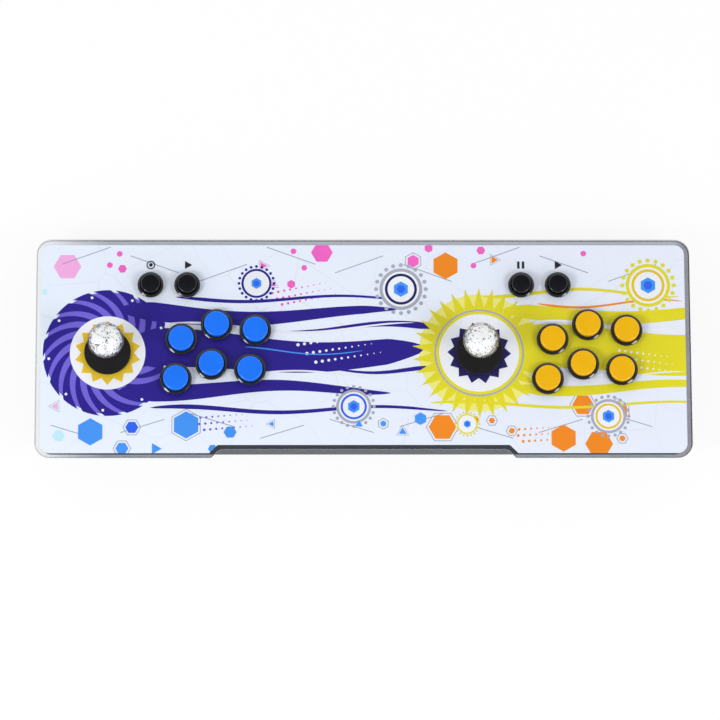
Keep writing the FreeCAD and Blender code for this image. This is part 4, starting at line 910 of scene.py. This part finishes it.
    def draw_accents(self) -> None:
        """Pink along the back edge, blue and orange along the front, pale tints at the left end."""
        self.scatter((Ink.PINK, Ink.PINK, Ink.PALE_PINK), self.at(-322, 74), self.at(-232, 106), 4, 5)
        self.scatter((Ink.PINK,), self.at(-118, 66), self.at(-30, 106), 7, 11)
        self.scatter((Ink.PINK, Ink.ORANGE), self.at(46, 78), self.at(136, 106), 6, 17)
        self.scatter((Ink.PINK,), self.at(212, 92), self.at(226, 106), 1, 19)
        self.scatter((Ink.PALE_PINK, Ink.PALE_CYAN), self.at(-324, -104), self.at(-304, 62), 4, 23)
        self.scatter((Ink.SKY, Ink.ROYAL, Ink.SKY), self.at(-290, -104), self.at(-84, -74), 8, 29)
        self.scatter((Ink.SKY, Ink.ROYAL), self.at(-16, -96), self.at(60, -72), 4, 31)
        self.scatter((Ink.ORANGE,), self.at(72, -96), self.at(150, -72), 4, 37)
        self.scatter((Ink.ORANGE,), self.at(200, -104), self.at(262, -58), 5, 41)
        grey = self.ink(Ink.LINE_GREY)
        for number in range(9):
            turn = (-1) ** number
            back = self.at(-280 + 69 * number, 97 - 9 * (number % 3))
            grey.bar(back, 52 * MM, 0.8 * MM, 0.35 * turn)
            front = self.at(-292 + 70 * number, -86 + 6 * (number % 3))
            grey.bar(front, 46 * MM, 0.8 * MM, -0.3 * turn)

    def draw_labels(self) -> None:
        """Plain signs over the menu buttons: a coin, a play mark, two pause bars and a play mark."""
        black = self.ink(Ink.BLACK)
        rise = self.at(0, 22)
        coin, play = (middle_of(f"left_menu_plunger_{number}") + rise for number in (1, 2))
        pause, again = (middle_of(f"right_menu_plunger_{number}") + rise for number in (1, 2))
        black.ring(coin, 4.4 * MM, 3.3 * MM, sides=40)
        black.polygon(coin, 1.8 * MM, sides=24)
        black.polygon(play, 4.8 * MM, sides=3, turn=-math.pi / 2)
        black.polygon(again, 4.8 * MM, sides=3, turn=-math.pi / 2)
        for side in (-1, 1):
            black.bar(pause + self.at(2.4 * side, 0), 2.4 * MM, 7.4 * MM)

    def cutter(self) -> bpy.types.Object:
        """The film's own outline and holes as a closed solid over the ink layers.

        Returns:
            The solid, to be removed after the inks are trimmed.
        """
        shape = bmesh.new()
        shape.from_mesh(frame["nodes"]["printed_film"].data)
        bmesh.ops.remove_doubles(shape, verts=shape.verts[:], dist=SEAM)
        taller = stretched_up(middle_of("printed_film"), 4.0)
        bmesh.ops.transform(shape, matrix=taller, verts=shape.verts[:])
        return piece_from(shape, "film_cutter", [])

    def base(self) -> None:
        """The film itself with its white ground, a hair thicker than its solid so the inks lie on it."""
        shape = bmesh.new()
        shape.from_mesh(frame["nodes"]["printed_film"].data)
        bmesh.ops.remove_doubles(shape, verts=shape.verts[:], dist=SEAM)
        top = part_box("printed_film")[1].z
        upper = [vertex for vertex in shape.verts if vertex.co.z > top - 0.01 * MM]
        bmesh.ops.translate(shape, verts=upper, vec=(0.0, 0.0, 1.4 * self.layer_step))
        # The ground's colour is the paler left end of its painted glare gradient.
        piece = piece_from(shape, "film_ground", [PrintStock("film_ground", srgb(233, 242, 255)).make()])
        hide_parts("printed_film")
        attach(piece, "case")

    def build(self) -> None:
        """Draws every motif and presses the inks onto the film, the ground first."""
        self.base()
        self.draw_accents()
        self.draw_fan()
        self.draw_burst()
        self.draw_ribbons()
        self.draw_halos()
        self.draw_labels()
        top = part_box("printed_film")[1].z
        cutter = self.cutter()
        for layer, ink in enumerate(Ink, start=2):
            sheet = self.sheets.get(ink)
            piece = sheet.pressed(top + layer * self.layer_step, cutter) if sheet else None
            if piece:
                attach(piece, "case")
                LOG.info("print: %s, %d faces", piece.name, len(piece.data.polygons))
        bpy.data.objects.remove(cutter)


@dataclass
class CoverEdge:
    """The clear sheet's margin outside the film, with painted shade laid under it and a painted dark line
    along its cut edge.
    """

    thickness: float = 0.04 * MM
    line_width: float = 1.1 * MM
    block_inset: float = 11 * MM

    def build(self) -> None:
        """Lays the margin's band of painted shade and the painted dark line of the cut edge just inside the
        cover's underside.
        """
        for piece in (self.margin(), self.line()):
            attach(piece, "case")
            LOG.info("cover: %s, %d faces", piece.name, len(piece.data.polygons))

    def sheet(self) -> bmesh.types.BMesh:
        """The cover's mesh, with its seams merged.

        Returns:
            The merged shape.
        """
        shape = bmesh.new()
        shape.from_mesh(frame["nodes"]["acrylic_cover"].data)
        bmesh.ops.remove_doubles(shape, verts=shape.verts[:], dist=SEAM)
        return shape

    def margin(self) -> bpy.types.Object:
        """A thin band of painted shade, the shape of the cover less the film.

        Returns:
            The finished band.
        """
        shape = self.sheet()
        low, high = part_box("acrylic_cover")
        squash = stretched_up(Vector((0.0, 0.0, low.z)), self.thickness / (high.z - low.z))
        bmesh.ops.transform(shape, matrix=squash, verts=shape.verts[:])
        bmesh.ops.translate(shape, verts=shape.verts[:], vec=(0, 0, 2 * self.thickness))
        # The band's see-through colour is painted shade, with painted glare at the left end.
        band = piece_from(shape, "cover_margin", [EdgeShade("margin_shade", (0.55, 0.57, 0.60)).make()])
        outline = bmesh.new()
        outline.from_mesh(frame["nodes"]["printed_film"].data)
        bmesh.ops.remove_doubles(outline, verts=outline.verts[:], dist=SEAM)
        bmesh.ops.holes_fill(outline, edges=outline.edges[:])
        taller = stretched_up(middle_of("printed_film"), 8.0)
        bmesh.ops.transform(outline, matrix=taller, verts=outline.verts[:])
        cutter = piece_from(outline, "margin_cutter", [])
        block = self.middle_block()
        for solid in (cutter, block):
            trim = band.modifiers.new("trim", "BOOLEAN")
            trim.operation = "DIFFERENCE"
            trim.solver = "EXACT"
            trim.object = solid
        applied(band)
        bpy.data.objects.remove(cutter)
        bpy.data.objects.remove(block)
        return band

    def line(self) -> bpy.types.Object:
        """The narrow line of painted shade along the cover's whole outline, where its cut edge looks dark.

        Returns:
            The finished line.
        """
        shape = self.sheet()
        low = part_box("acrylic_cover")[0].z
        rest = [face for face in shape.faces
                if face.normal.z >= -0.9 or face.calc_center_median().z >= low + MM]
        bmesh.ops.delete(shape, geom=rest, context="FACES")
        ring = bmesh.ops.inset_region(shape, faces=shape.faces[:], thickness=self.line_width,
                                      use_even_offset=True, use_boundary=True)["faces"]
        kept = {face for face in ring if self.at_edge(face.calc_center_median())}
        bmesh.ops.delete(shape, geom=[face for face in shape.faces if face not in kept], context="FACES")
        walls = bmesh.ops.extrude_face_region(shape, geom=shape.faces[:])["geom"]
        upper = [item for item in walls if isinstance(item, bmesh.types.BMVert)]
        bmesh.ops.translate(shape, verts=upper, vec=(0, 0, self.thickness))
        bmesh.ops.translate(shape, verts=shape.verts[:], vec=(0, 0, 4 * self.thickness))
        bmesh.ops.recalc_face_normals(shape, faces=shape.faces[:])
        # Painted shade for the dark look of the polished cut edge.
        finish = EdgeShade("edge_shade", (0.50, 0.52, 0.55), back=(0.52, 0.54, 0.57),
                           side=(0.52, 0.53, 0.56), painted_glare=(0.78, 0.80, 0.82))
        return piece_from(shape, "cover_edge_line", [finish.make()])

    def at_edge(self, spot: Vector) -> bool:
        """Whether a point lies in the cover's outer margin, clear of its button and stick holes.

        Args:
            spot: The point.

        Returns:
            True in the margin.
        """
        low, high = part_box("printed_film")
        inset = self.block_inset
        return not (low.x + inset < spot.x < high.x - inset and low.y + inset < spot.y < high.y - inset)

    def middle_block(self) -> bpy.types.Object:
        """One broad block that takes away everything of the band inside the film's margin.

        Returns:
            The block.
        """
        low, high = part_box("printed_film")
        span = high - low - Vector((2 * self.block_inset, 2 * self.block_inset, 0.0))
        shape = bmesh.new()
        made = bmesh.ops.create_cube(shape, size=1.0)["verts"]
        size = Matrix.Diagonal((span.x, span.y, 8 * span.z, 1.0))
        bmesh.ops.transform(shape, matrix=Matrix.Translation((low + high) / 2) @ size, verts=made)
        return piece_from(shape, "margin_plug", [])


@dataclass(frozen=True)
class EdgeShade(Finish):
    """Painted shade for the bare margin of a thick clear sheet, deepest along the front, with painted glare
    at its left end.
    """

    # back and side are the painted shade at the back and at the right end; painted_glare is the painted
    # pale glare at the left end.
    back: Colour = (0.67, 0.69, 0.72)
    side: Colour = (0.55, 0.55, 0.58)
    painted_glare: Colour = (0.97, 0.975, 0.98)
    half_length: float = 0.33
    half_depth: float = 0.113

    def make(self) -> bpy.types.Material:
        """A see-through painted shade, deepest along the front and at the right end, with painted glare
        that leaves the left end palest.

        Returns:
            The material.
        """
        graph = Graph(self.name)
        split = graph.add("SeparateXYZ", {"Vector": graph.place()})
        across = graph.add("MapRange", {
            "Value": split.outputs["X"],
            "From Min": -self.half_length, "From Max": -0.78 * self.half_length,
        })
        along = graph.add("MapRange", {
            "Value": split.outputs["Y"],
            "From Min": -0.9 * self.half_depth, "From Max": 0.9 * self.half_depth,
        })
        right = graph.add("MapRange", {
            "Value": split.outputs["X"],
            "From Min": 0.95 * self.half_length, "From Max": 0.985 * self.half_length,
        })
        # Painted shade from front to back and at the right end, faint random pale patches, then painted
        # glare towards the left end.
        body = graph.blend(along.outputs[0], self.colour, self.back)
        ended = graph.blend(right.outputs[0], body, self.side)
        wiped = graph.blend(graph.between(graph.noise(24.0, 3.0), 0.0, 0.08), ended, self.painted_glare)
        tone = graph.blend(across.outputs[0], self.painted_glare, wiped)
        return graph.finish(graph.add("BsdfTransparent", {"Color": tone}).outputs[0])


# ---------------------------------------------------------------- buttons


def turned_piece(points: list, at: Vector) -> bmesh.types.BMesh:
    """Turns a closed outline round an upright axis.

    Args:
        points: The outline as radius and height pairs.
        at: The axis's place.

    Returns:
        The turned shape.
    """
    shape = bmesh.new()
    rim = [shape.verts.new((at.x + radius, at.y, height)) for radius, height in points]
    edges = [shape.edges.new((first, second)) for first, second in zip(rim, rim[1:])]
    bmesh.ops.spin(shape, geom=rim + edges, cent=(at.x, at.y, 0.0), axis=(0, 0, 1), angle=2 * math.pi,
                   steps=72, use_merge=True)
    bmesh.ops.remove_doubles(shape, verts=shape.verts[:], dist=SEAM)
    bmesh.ops.recalc_face_normals(shape, faces=shape.faces[:])
    return shape


def rounded(start: tuple, middle: tuple, end: tuple, steps: int = 6) -> list:
    """Points along a soft curve that is pulled towards a middle point.

    Args:
        start: The first radius and height.
        middle: The point it is pulled towards.
        end: The last radius and height.
        steps: How many points.

    Returns:
        The points after the first.
    """
    points = []
    for number in range(1, steps + 1):
        share = number / steps
        weights = ((1 - share) ** 2, 2 * share * (1 - share), share ** 2)
        points.append(tuple(sum(w * p[n] for w, p in zip(weights, (start, middle, end))) for n in range(2)))
    return points


@dataclass
class PushButton:
    """One button: its cap and its rim."""

    plunger_node: str
    cap_finish: bpy.types.Material
    rim_finish: bpy.types.Material
    rim_width: float = 3.5 * MM
    cap_relief: float = 0.45 * MM
    dish: float = 0.35 * MM
    edge: float = 1.5 * MM
    skirt_depth: float = 9.55 * MM
    wall_depth: float = 3.2 * MM
    action_body_radius: float = 14.8 * MM
    menu_body_radius: float = 11.8 * MM
    body_length: float = 22 * MM

    def cap(self) -> bpy.types.Object:
        """The cap, dished on top, with a rolled edge and a skirt down into its rim.

        Returns:
            The finished cap.
        """
        low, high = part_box(self.plunger_node)
        at = middle_of(self.plunger_node)
        flange = (high.x - low.x) / 2
        radius = flange - 0.5 * MM - self.cap_relief
        top = high.z
        under = top - self.skirt_depth
        ceiling = top - self.wall_depth
        edge = self.edge
        points = [(0.0, top - self.dish)]
        points += rounded(points[0], (radius * 0.55, top - self.dish), (radius - edge, top - 0.02 * MM), 8)
        points += rounded(points[-1], (radius, top), (radius, top - edge), 8)
        points += [(radius, under), (flange, under - 0.5 * MM), (flange, under - 2.5 * MM)]
        points += [(radius * 0.86, under - 2.5 * MM), (radius * 0.86, ceiling), (3.2 * MM, ceiling)]
        points += [(3.2 * MM, low.z + 4.0 * MM), (1.2 * MM, low.z + 4.0 * MM)]
        points += [(1.2 * MM, low.z), (0.0, low.z)]
        name = f"{self.plunger_node}_cap"
        piece = piece_from(turned_piece(points, at), name, [self.cap_finish], smooth=True)
        sharpen(piece)
        return piece

    def rim(self, top: float, body: float, floor: float) -> bpy.types.Object:
        """The rim round the cap, with a crest, a fall towards the cap and a plain body below.

        Args:
            top: The height of its crest.
            body: The radius of its body under the cover.
            floor: The height of its lower end.

        Returns:
            The finished rim.
        """
        low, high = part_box(self.plunger_node)
        at = middle_of(self.plunger_node)
        cover_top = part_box("acrylic_cover")[1].z
        radius = (high.x - low.x) / 2 - 0.5 * MM - self.cap_relief
        lip = radius + 0.25 * MM
        outer = lip + self.rim_width - 0.25 * MM
        crest = outer - 2.2 * MM
        points = [(body, floor), (body, cover_top), (outer - 0.15 * MM, cover_top)]
        points += [(outer, cover_top + 0.15 * MM), (outer, cover_top + 0.6 * MM)]
        shoulder = (outer - 0.25 * MM, top - 0.85 * MM)
        points += rounded(points[-1], (outer - 0.02 * MM, top - 1.05 * MM), shoulder, 5)
        points += rounded(shoulder, (outer - 1.2 * MM, top - 0.42 * MM), (crest, top - 0.08 * MM), 6)
        points.append((crest - 0.25 * MM, top))
        points += rounded(points[-1], (crest - 0.6 * MM, top), (lip + 0.25 * MM, top - 0.55 * MM), 5)
        points += [(lip, top - 0.8 * MM), (lip, top - 4.0 * MM), (body - 0.9 * MM, top - 4.5 * MM)]
        points += [(body - 0.9 * MM, floor), (body, floor)]
        name = f"{self.plunger_node}_rim".replace("_plunger", "")
        piece = piece_from(turned_piece(points, at), name, [self.rim_finish], smooth=True)
        sharpen(piece)
        return piece

    def build(self, bezel_node: str) -> None:
        """Makes the cap and the rim and gives them to their bodies.

        Args:
            bezel_node: The CAD node that holds this button's rim.
        """
        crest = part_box(bezel_node)[1].z
        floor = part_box("acrylic_cover")[1].z - self.body_length
        cap = self.cap()
        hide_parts(self.plunger_node)
        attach(cap, cap_body(self.plunger_node))
        body = self.action_body_radius if "action" in bezel_node else self.menu_body_radius
        rim = self.rim(crest, body, floor)
        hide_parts(bezel_node)
        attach(rim, "case")
        LOG.info("button: %s and %s", cap.name, rim.name)


def cap_body(node: str) -> str:
    """The body that a plunger's node belongs to."""
    groups = frame["record"]["behaviour"]["bodies"]
    return next(body for body, nodes in groups.items() if node in nodes)


def sharpen(piece: bpy.types.Object, degrees: float = 32.0) -> None:
    """Marks edges sharper than an angle so that smooth shading stops there.

    Args:
        piece: The piece.
        degrees: The angle.
    """
    shape = bmesh.new()
    shape.from_mesh(piece.data)
    limit = math.radians(degrees)
    for edge in shape.edges:
        edge.smooth = len(edge.link_faces) == 2 and edge.calc_face_angle(math.pi) < limit
    shape.to_mesh(piece.data)
    shape.free()


# ---------------------------------------------------------------- sticks


@dataclass(frozen=True)
class Bead(Finish):
    """An air bubble in clear resin: see-through in its middle, with painted shade round its edge."""

    def make(self) -> bpy.types.Material:
        """See-through at the middle; where it turns away, a dark glossy surface paints the shade that the
        bubble's refraction makes.

        Returns:
            The material.
        """
        graph = Graph(self.name)
        clear = graph.add("BsdfTransparent", {"Color": (1.0, 1.0, 1.0)})
        # The dark base colour is painted shade for the bubble's refraction; its gloss is real.
        body = graph.add("BsdfPrincipled", {"Base Color": self.colour, "Roughness": graph.between(
            graph.noise(900.0, 2.0), 0.05, 0.12)})
        facing = graph.add("LayerWeight", {"Blend": 0.5}).outputs["Facing"]
        edge = graph.add("MapRange", {
            "Value": facing, "From Min": 0.25, "From Max": 0.6, "To Min": 0.15, "To Max": 1.0,
        })
        mixed = graph.add("MixShader", {0: edge.outputs[0], 1: clear.outputs[0], 2: body.outputs[0]})
        return graph.finish(mixed.outputs[0])


@dataclass
class BallTop:
    """The clear ball with its bubbles, over its brass insert."""

    side: Side
    shell: bpy.types.Material
    core: bpy.types.Material
    bead: bpy.types.Material
    bubbles: int = 80

    def build(self) -> None:
        """Makes the ball, its milky heart and its bubbles."""
        node = f"{self.side.value}_ball_top"
        low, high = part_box(node)
        radius = (high.x - low.x) / 2
        centre = Vector(((low.x + high.x) / 2, (low.y + high.y) / 2, high.z - radius))
        body = cap_body(node)
        ball = self.cut_ball(centre, radius, low.z, 64)
        shell = piece_from(ball, f"{self.side.value}_crystal_ball", [self.shell], smooth=True)
        sharpen(shell)
        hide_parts(node)
        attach(shell, body)
        heart = piece_from(self.cut_ball(centre, radius - 1.3 * MM, low.z + 1.0 * MM, 48),
                           f"{self.side.value}_ball_heart", [self.core], smooth=True)
        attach(heart, body)
        beads = piece_from(self.bead_cloud(centre, radius), f"{self.side.value}_ball_bubbles", [self.bead],
                           smooth=True)
        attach(beads, body)
        LOG.info("stick: %s, %s, %s", shell.name, heart.name, beads.name)

    def cut_ball(self, centre: Vector, radius: float, base: float, sides: int) -> bmesh.types.BMesh:
        """A ball with a flat under it.

        Args:
            centre: Its centre.
            radius: Its radius.
            base: The height of the flat.
            sides: How many segments go round.

        Returns:
            The closed shape.
        """
        shape = bmesh.new()
        bmesh.ops.create_uvsphere(shape, u_segments=sides, v_segments=sides // 2, radius=radius)
        bmesh.ops.translate(shape, verts=shape.verts[:], vec=centre)
        geometry = shape.verts[:] + shape.edges[:] + shape.faces[:]
        bmesh.ops.bisect_plane(shape, geom=geometry, plane_co=(0, 0, base), plane_no=(0, 0, -1),
                               clear_outer=True)
        bmesh.ops.holes_fill(shape, edges=[edge for edge in shape.edges if edge.is_boundary])
        bmesh.ops.recalc_face_normals(shape, faces=shape.faces[:])
        return shape

    def bead_cloud(self, centre: Vector, radius: float) -> bmesh.types.BMesh:
        """Bubbles of several sizes just inside the skin.

        Args:
            centre: The ball's centre.
            radius: The ball's radius.

        Returns:
            The bubbles.
        """
        dice = random.Random(71 if self.side is Side.LEFT else 97)
        shape = bmesh.new()
        for _ in range(self.bubbles):
            size = dice.choice((0.4, 0.6, 0.8, 1.0)) * MM
            height = dice.uniform(-0.6, 1.0)
            turn = dice.uniform(0.0, 2 * math.pi)
            across = math.sqrt(1 - height * height)
            reach = radius - 1.1 * MM
            spot = centre + Vector((across * math.cos(turn), across * math.sin(turn), height)) * reach
            made = bmesh.ops.create_icosphere(shape, subdivisions=2, radius=size)["verts"]
            bmesh.ops.translate(shape, verts=made, vec=spot)
        return shape


# ---------------------------------------------------------------- carried-over CAD pieces


@dataclass
class Dressing:
    """Gives every CAD node its finish, by the record's slots."""

    def finishes(self) -> dict:
        """One finish for each material slot.

        Returns:
            The finishes by the slot's name.
        """
        return {
            "clear_acrylic": ClearSheet("clear_acrylic", (0.985, 0.988, 0.992)),
            # printed_film's white is the paler left end of the painted glare gradient.
            "printed_film": PrintStock("printed_film", srgb(233, 242, 255)),
            "case_paint": PowderCoat("case_paint", srgb(30, 39, 50)),
            "zinc_steel": PlatedMetal("zinc_steel", (0.62, 0.63, 0.64), 0.34),
            "foot_rubber": Rubber("foot_rubber", (0.018, 0.018, 0.019)),
            "black_gloss": GlossPlastic("black_gloss", (0.006, 0.007, 0.010), 0.12, 0.2),
            "blue_plunger": GlossPlastic("blue_plunger", srgb(22, 118, 250), 0.2, 0.15),
            "yellow_plunger": GlossPlastic("yellow_plunger", srgb(242, 184, 2), 0.2, 0.15),
            "black_plunger": GlossPlastic("black_plunger", (0.003, 0.0035, 0.006), 0.16, 0.05),
            "black_moulding": SatinMoulding("black_moulding", (0.006, 0.006, 0.007), 0.4, 0.22),
            "white_nylon": SatinMoulding("white_nylon", (0.72, 0.71, 0.67), 0.4),
            "switch_plastic": SatinMoulding("switch_plastic", (0.03, 0.03, 0.032), 0.38),
            "crystal": ClearSheet("crystal", (0.99, 0.99, 0.99)),
            "brass": PlatedMetal("brass", (0.72, 0.50, 0.20), 0.25),
            "polished_steel": PlatedMetal("polished_steel", (0.72, 0.72, 0.73), 0.12),
            "spring_steel": PlatedMetal("spring_steel", (0.5, 0.5, 0.52), 0.3, (1.0, 1.0, 1.0)),
            "circuit_board": SolderMask("circuit_board", (0.012, 0.16, 0.06)),
            "port_shell": PlatedMetal("port_shell", (0.58, 0.58, 0.60), 0.3),
        }

    def build(self) -> dict:
        """Dresses every node.

        Returns:
            The materials by the slot's name.
        """
        materials = {slot: finish.make() for slot, finish in self.finishes().items()}
        for name, node in frame["nodes"].items():
            slots = node.data.materials
            for index, old in enumerate(slots):
                slot = old.name.split(".")[0] if old else ""
                if slot in materials:
                    slots[index] = materials[slot]
                else:
                    LOG.warning("node %s keeps %s", name, slot)
            LOG.info("dressed: %s", name)
        return materials


# ---------------------------------------------------------------- studio


@dataclass
class Studio:
    """Pale floor, soft lights and the camera in front of and above the panel."""

    aim: Vector = field(default_factory=lambda: Vector((-0.0036, -0.0127, 0.056)))
    camera_x: float = -0.066
    distance: float = 5.0
    elevation: float = 76.0
    view_width: float = 0.7245
    floor_size: float = 8.0
    level_light: float = 1.4
    zenith_light: float = 0.2
    fade_start: float = 0.55
    fade_end: float = 0.95

    def camera(self) -> None:
        """The camera, aimed at the middle of the panel."""
        data = bpy.data.cameras.new("studio_camera")
        data.sensor_width = 36.0
        data.lens = data.sensor_width * self.distance / self.view_width
        data.clip_end = 50.0
        camera = bpy.data.objects.new("studio_camera", data)
        angle = math.radians(self.elevation)
        away = Vector((0.0, -math.cos(angle), math.sin(angle))) * self.distance
        camera.location = Vector((self.camera_x, self.aim.y + away.y, self.aim.z + away.z))
        back = (camera.location - self.aim).normalized()
        across = (Vector((1.0, 0.0, 0.0)) - back * back.x).normalized()
        turn = Matrix((across, back.cross(across), back)).transposed()
        camera.rotation_euler = turn.to_euler()
        bpy.context.scene.collection.objects.link(camera)
        bpy.context.scene.camera = camera

    def floor(self) -> None:
        """A broad white floor that keeps the panel's soft shadow."""
        shape = bmesh.new()
        bmesh.ops.create_grid(shape, x_segments=1, y_segments=1, size=self.floor_size / 2)
        graph = Graph("studio_floor")
        tone = graph.blend(graph.noise(3.0), (0.95, 0.95, 0.95), (0.97, 0.97, 0.97))
        matt = graph.add("BsdfDiffuse", {"Color": tone, "Roughness": 0.6})
        white = graph.add("Emission", {"Color": (1.0, 1.0, 1.0), "Strength": 1.0})
        shadowed = graph.add("MixShader", {0: 0.88, 1: matt.outputs[0], 2: white.outputs[0]})
        seen = self.seen(graph)
        mixed = graph.add("MixShader", {0: seen, 1: matt.outputs[0], 2: shadowed.outputs[0]})
        floor = piece_from(shape, "studio_floor", [graph.finish(mixed.outputs[0])])

    def seen(self, graph: Graph) -> bpy.types.NodeSocket:
        """One for rays from the camera, from mirrors and from clear pieces.

        Args:
            graph: The floor's node tree.

        Returns:
            The factor.
        """
        path = graph.add("LightPath")
        first = graph.add("Math", {0: path.outputs["Is Camera Ray"], 1: path.outputs["Is Glossy Ray"]},
                          operation="MAXIMUM")
        return graph.add("Math", {0: first.outputs[0], 1: path.outputs["Is Transmission Ray"]},
                         operation="MAXIMUM").outputs[0]

    def world(self) -> None:
        """An even pale light from all round, dim overhead so that flat tops stay dark."""
        world = bpy.data.worlds.new("studio_world")
        world.use_nodes = True
        tree = world.node_tree
        tree.nodes.clear()
        output = tree.nodes.new("ShaderNodeOutputWorld")
        background = tree.nodes.new("ShaderNodeBackground")
        place = tree.nodes.new("ShaderNodeTexCoord")
        split = tree.nodes.new("ShaderNodeSeparateXYZ")
        fade = tree.nodes.new("ShaderNodeMapRange")
        fade.inputs["From Min"].default_value = self.fade_start
        fade.inputs["From Max"].default_value = self.fade_end
        fade.inputs["To Min"].default_value = self.level_light
        fade.inputs["To Max"].default_value = self.zenith_light
        tree.links.new(place.outputs["Generated"], split.inputs[0])
        tree.links.new(split.outputs["Z"], fade.inputs["Value"])
        tree.links.new(fade.outputs[0], background.inputs["Strength"])
        tree.links.new(background.outputs[0], output.inputs["Surface"])
        bpy.context.scene.world = world

    def lamp(self, name: str, place: tuple, width: float, height: float, power: float) -> None:
        """A rectangular soft light aimed at the panel.

        Args:
            name: Its name.
            place: Where it stands.
            width: Its width.
            height: Its height.
            power: Its power in watts.
        """
        data = bpy.data.lights.new(name, "AREA")
        data.shape = "RECTANGLE"
        data.size = width
        data.size_y = height
        data.energy = power
        lamp = bpy.data.objects.new(name, data)
        lamp.location = place
        lamp.rotation_euler = (self.aim - Vector(place)).to_track_quat("-Z", "Y").to_euler()
        bpy.context.scene.collection.objects.link(lamp)

    def build(self) -> None:
        """Sets the view, the floor and the lights."""
        scene = bpy.context.scene
        scene.view_settings.view_transform = "Standard"
        self.camera()
        self.floor()
        self.world()
        self.lamp("front_left_softbox", (-1.15, -0.75, 1.5), 0.5, 0.5, 12.0)
        self.lamp("front_right_softbox", (1.15, -0.75, 1.5), 0.5, 0.5, 9.0)
        LOG.info("studio: camera %.0f mm, two softboxes", scene.camera.data.lens)


# ---------------------------------------------------------------- the whole panel


def main() -> None:
    """Builds the studio, dresses the CAD pieces and adds the print, the buttons and the ball tops."""
    logging.basicConfig(level=logging.INFO, format="%(name)s %(message)s")
    Studio().build()
    materials = Dressing().build()
    for side, plunger in ((Side.LEFT, "blue_plunger"), (Side.RIGHT, "yellow_plunger")):
        for number in range(1, 7):
            button = PushButton(f"{side.value}_action_plunger_{number}", materials[plunger],
                                materials["black_gloss"])
            button.build(f"{side.value}_action_bezels")
        for number in range(1, 3):
            button = PushButton(f"{side.value}_menu_plunger_{number}", materials["black_plunger"],
                                materials["black_gloss"])
            button.build("menu_bezels")
    crystal = materials["crystal"]
    heart = SeededCore("ball_heart", (0.86, 0.87, 0.89)).make()
    # The bubbles' dark colour is painted shade for their refraction.
    bead = Bead("ball_bubbles", (0.05, 0.05, 0.06)).make()
    for side in Side:
        BallTop(side, crystal, heart, bead).build()
    PanelPrint().build()
    CoverEdge().build()


if __name__ == "__main__":
    main()
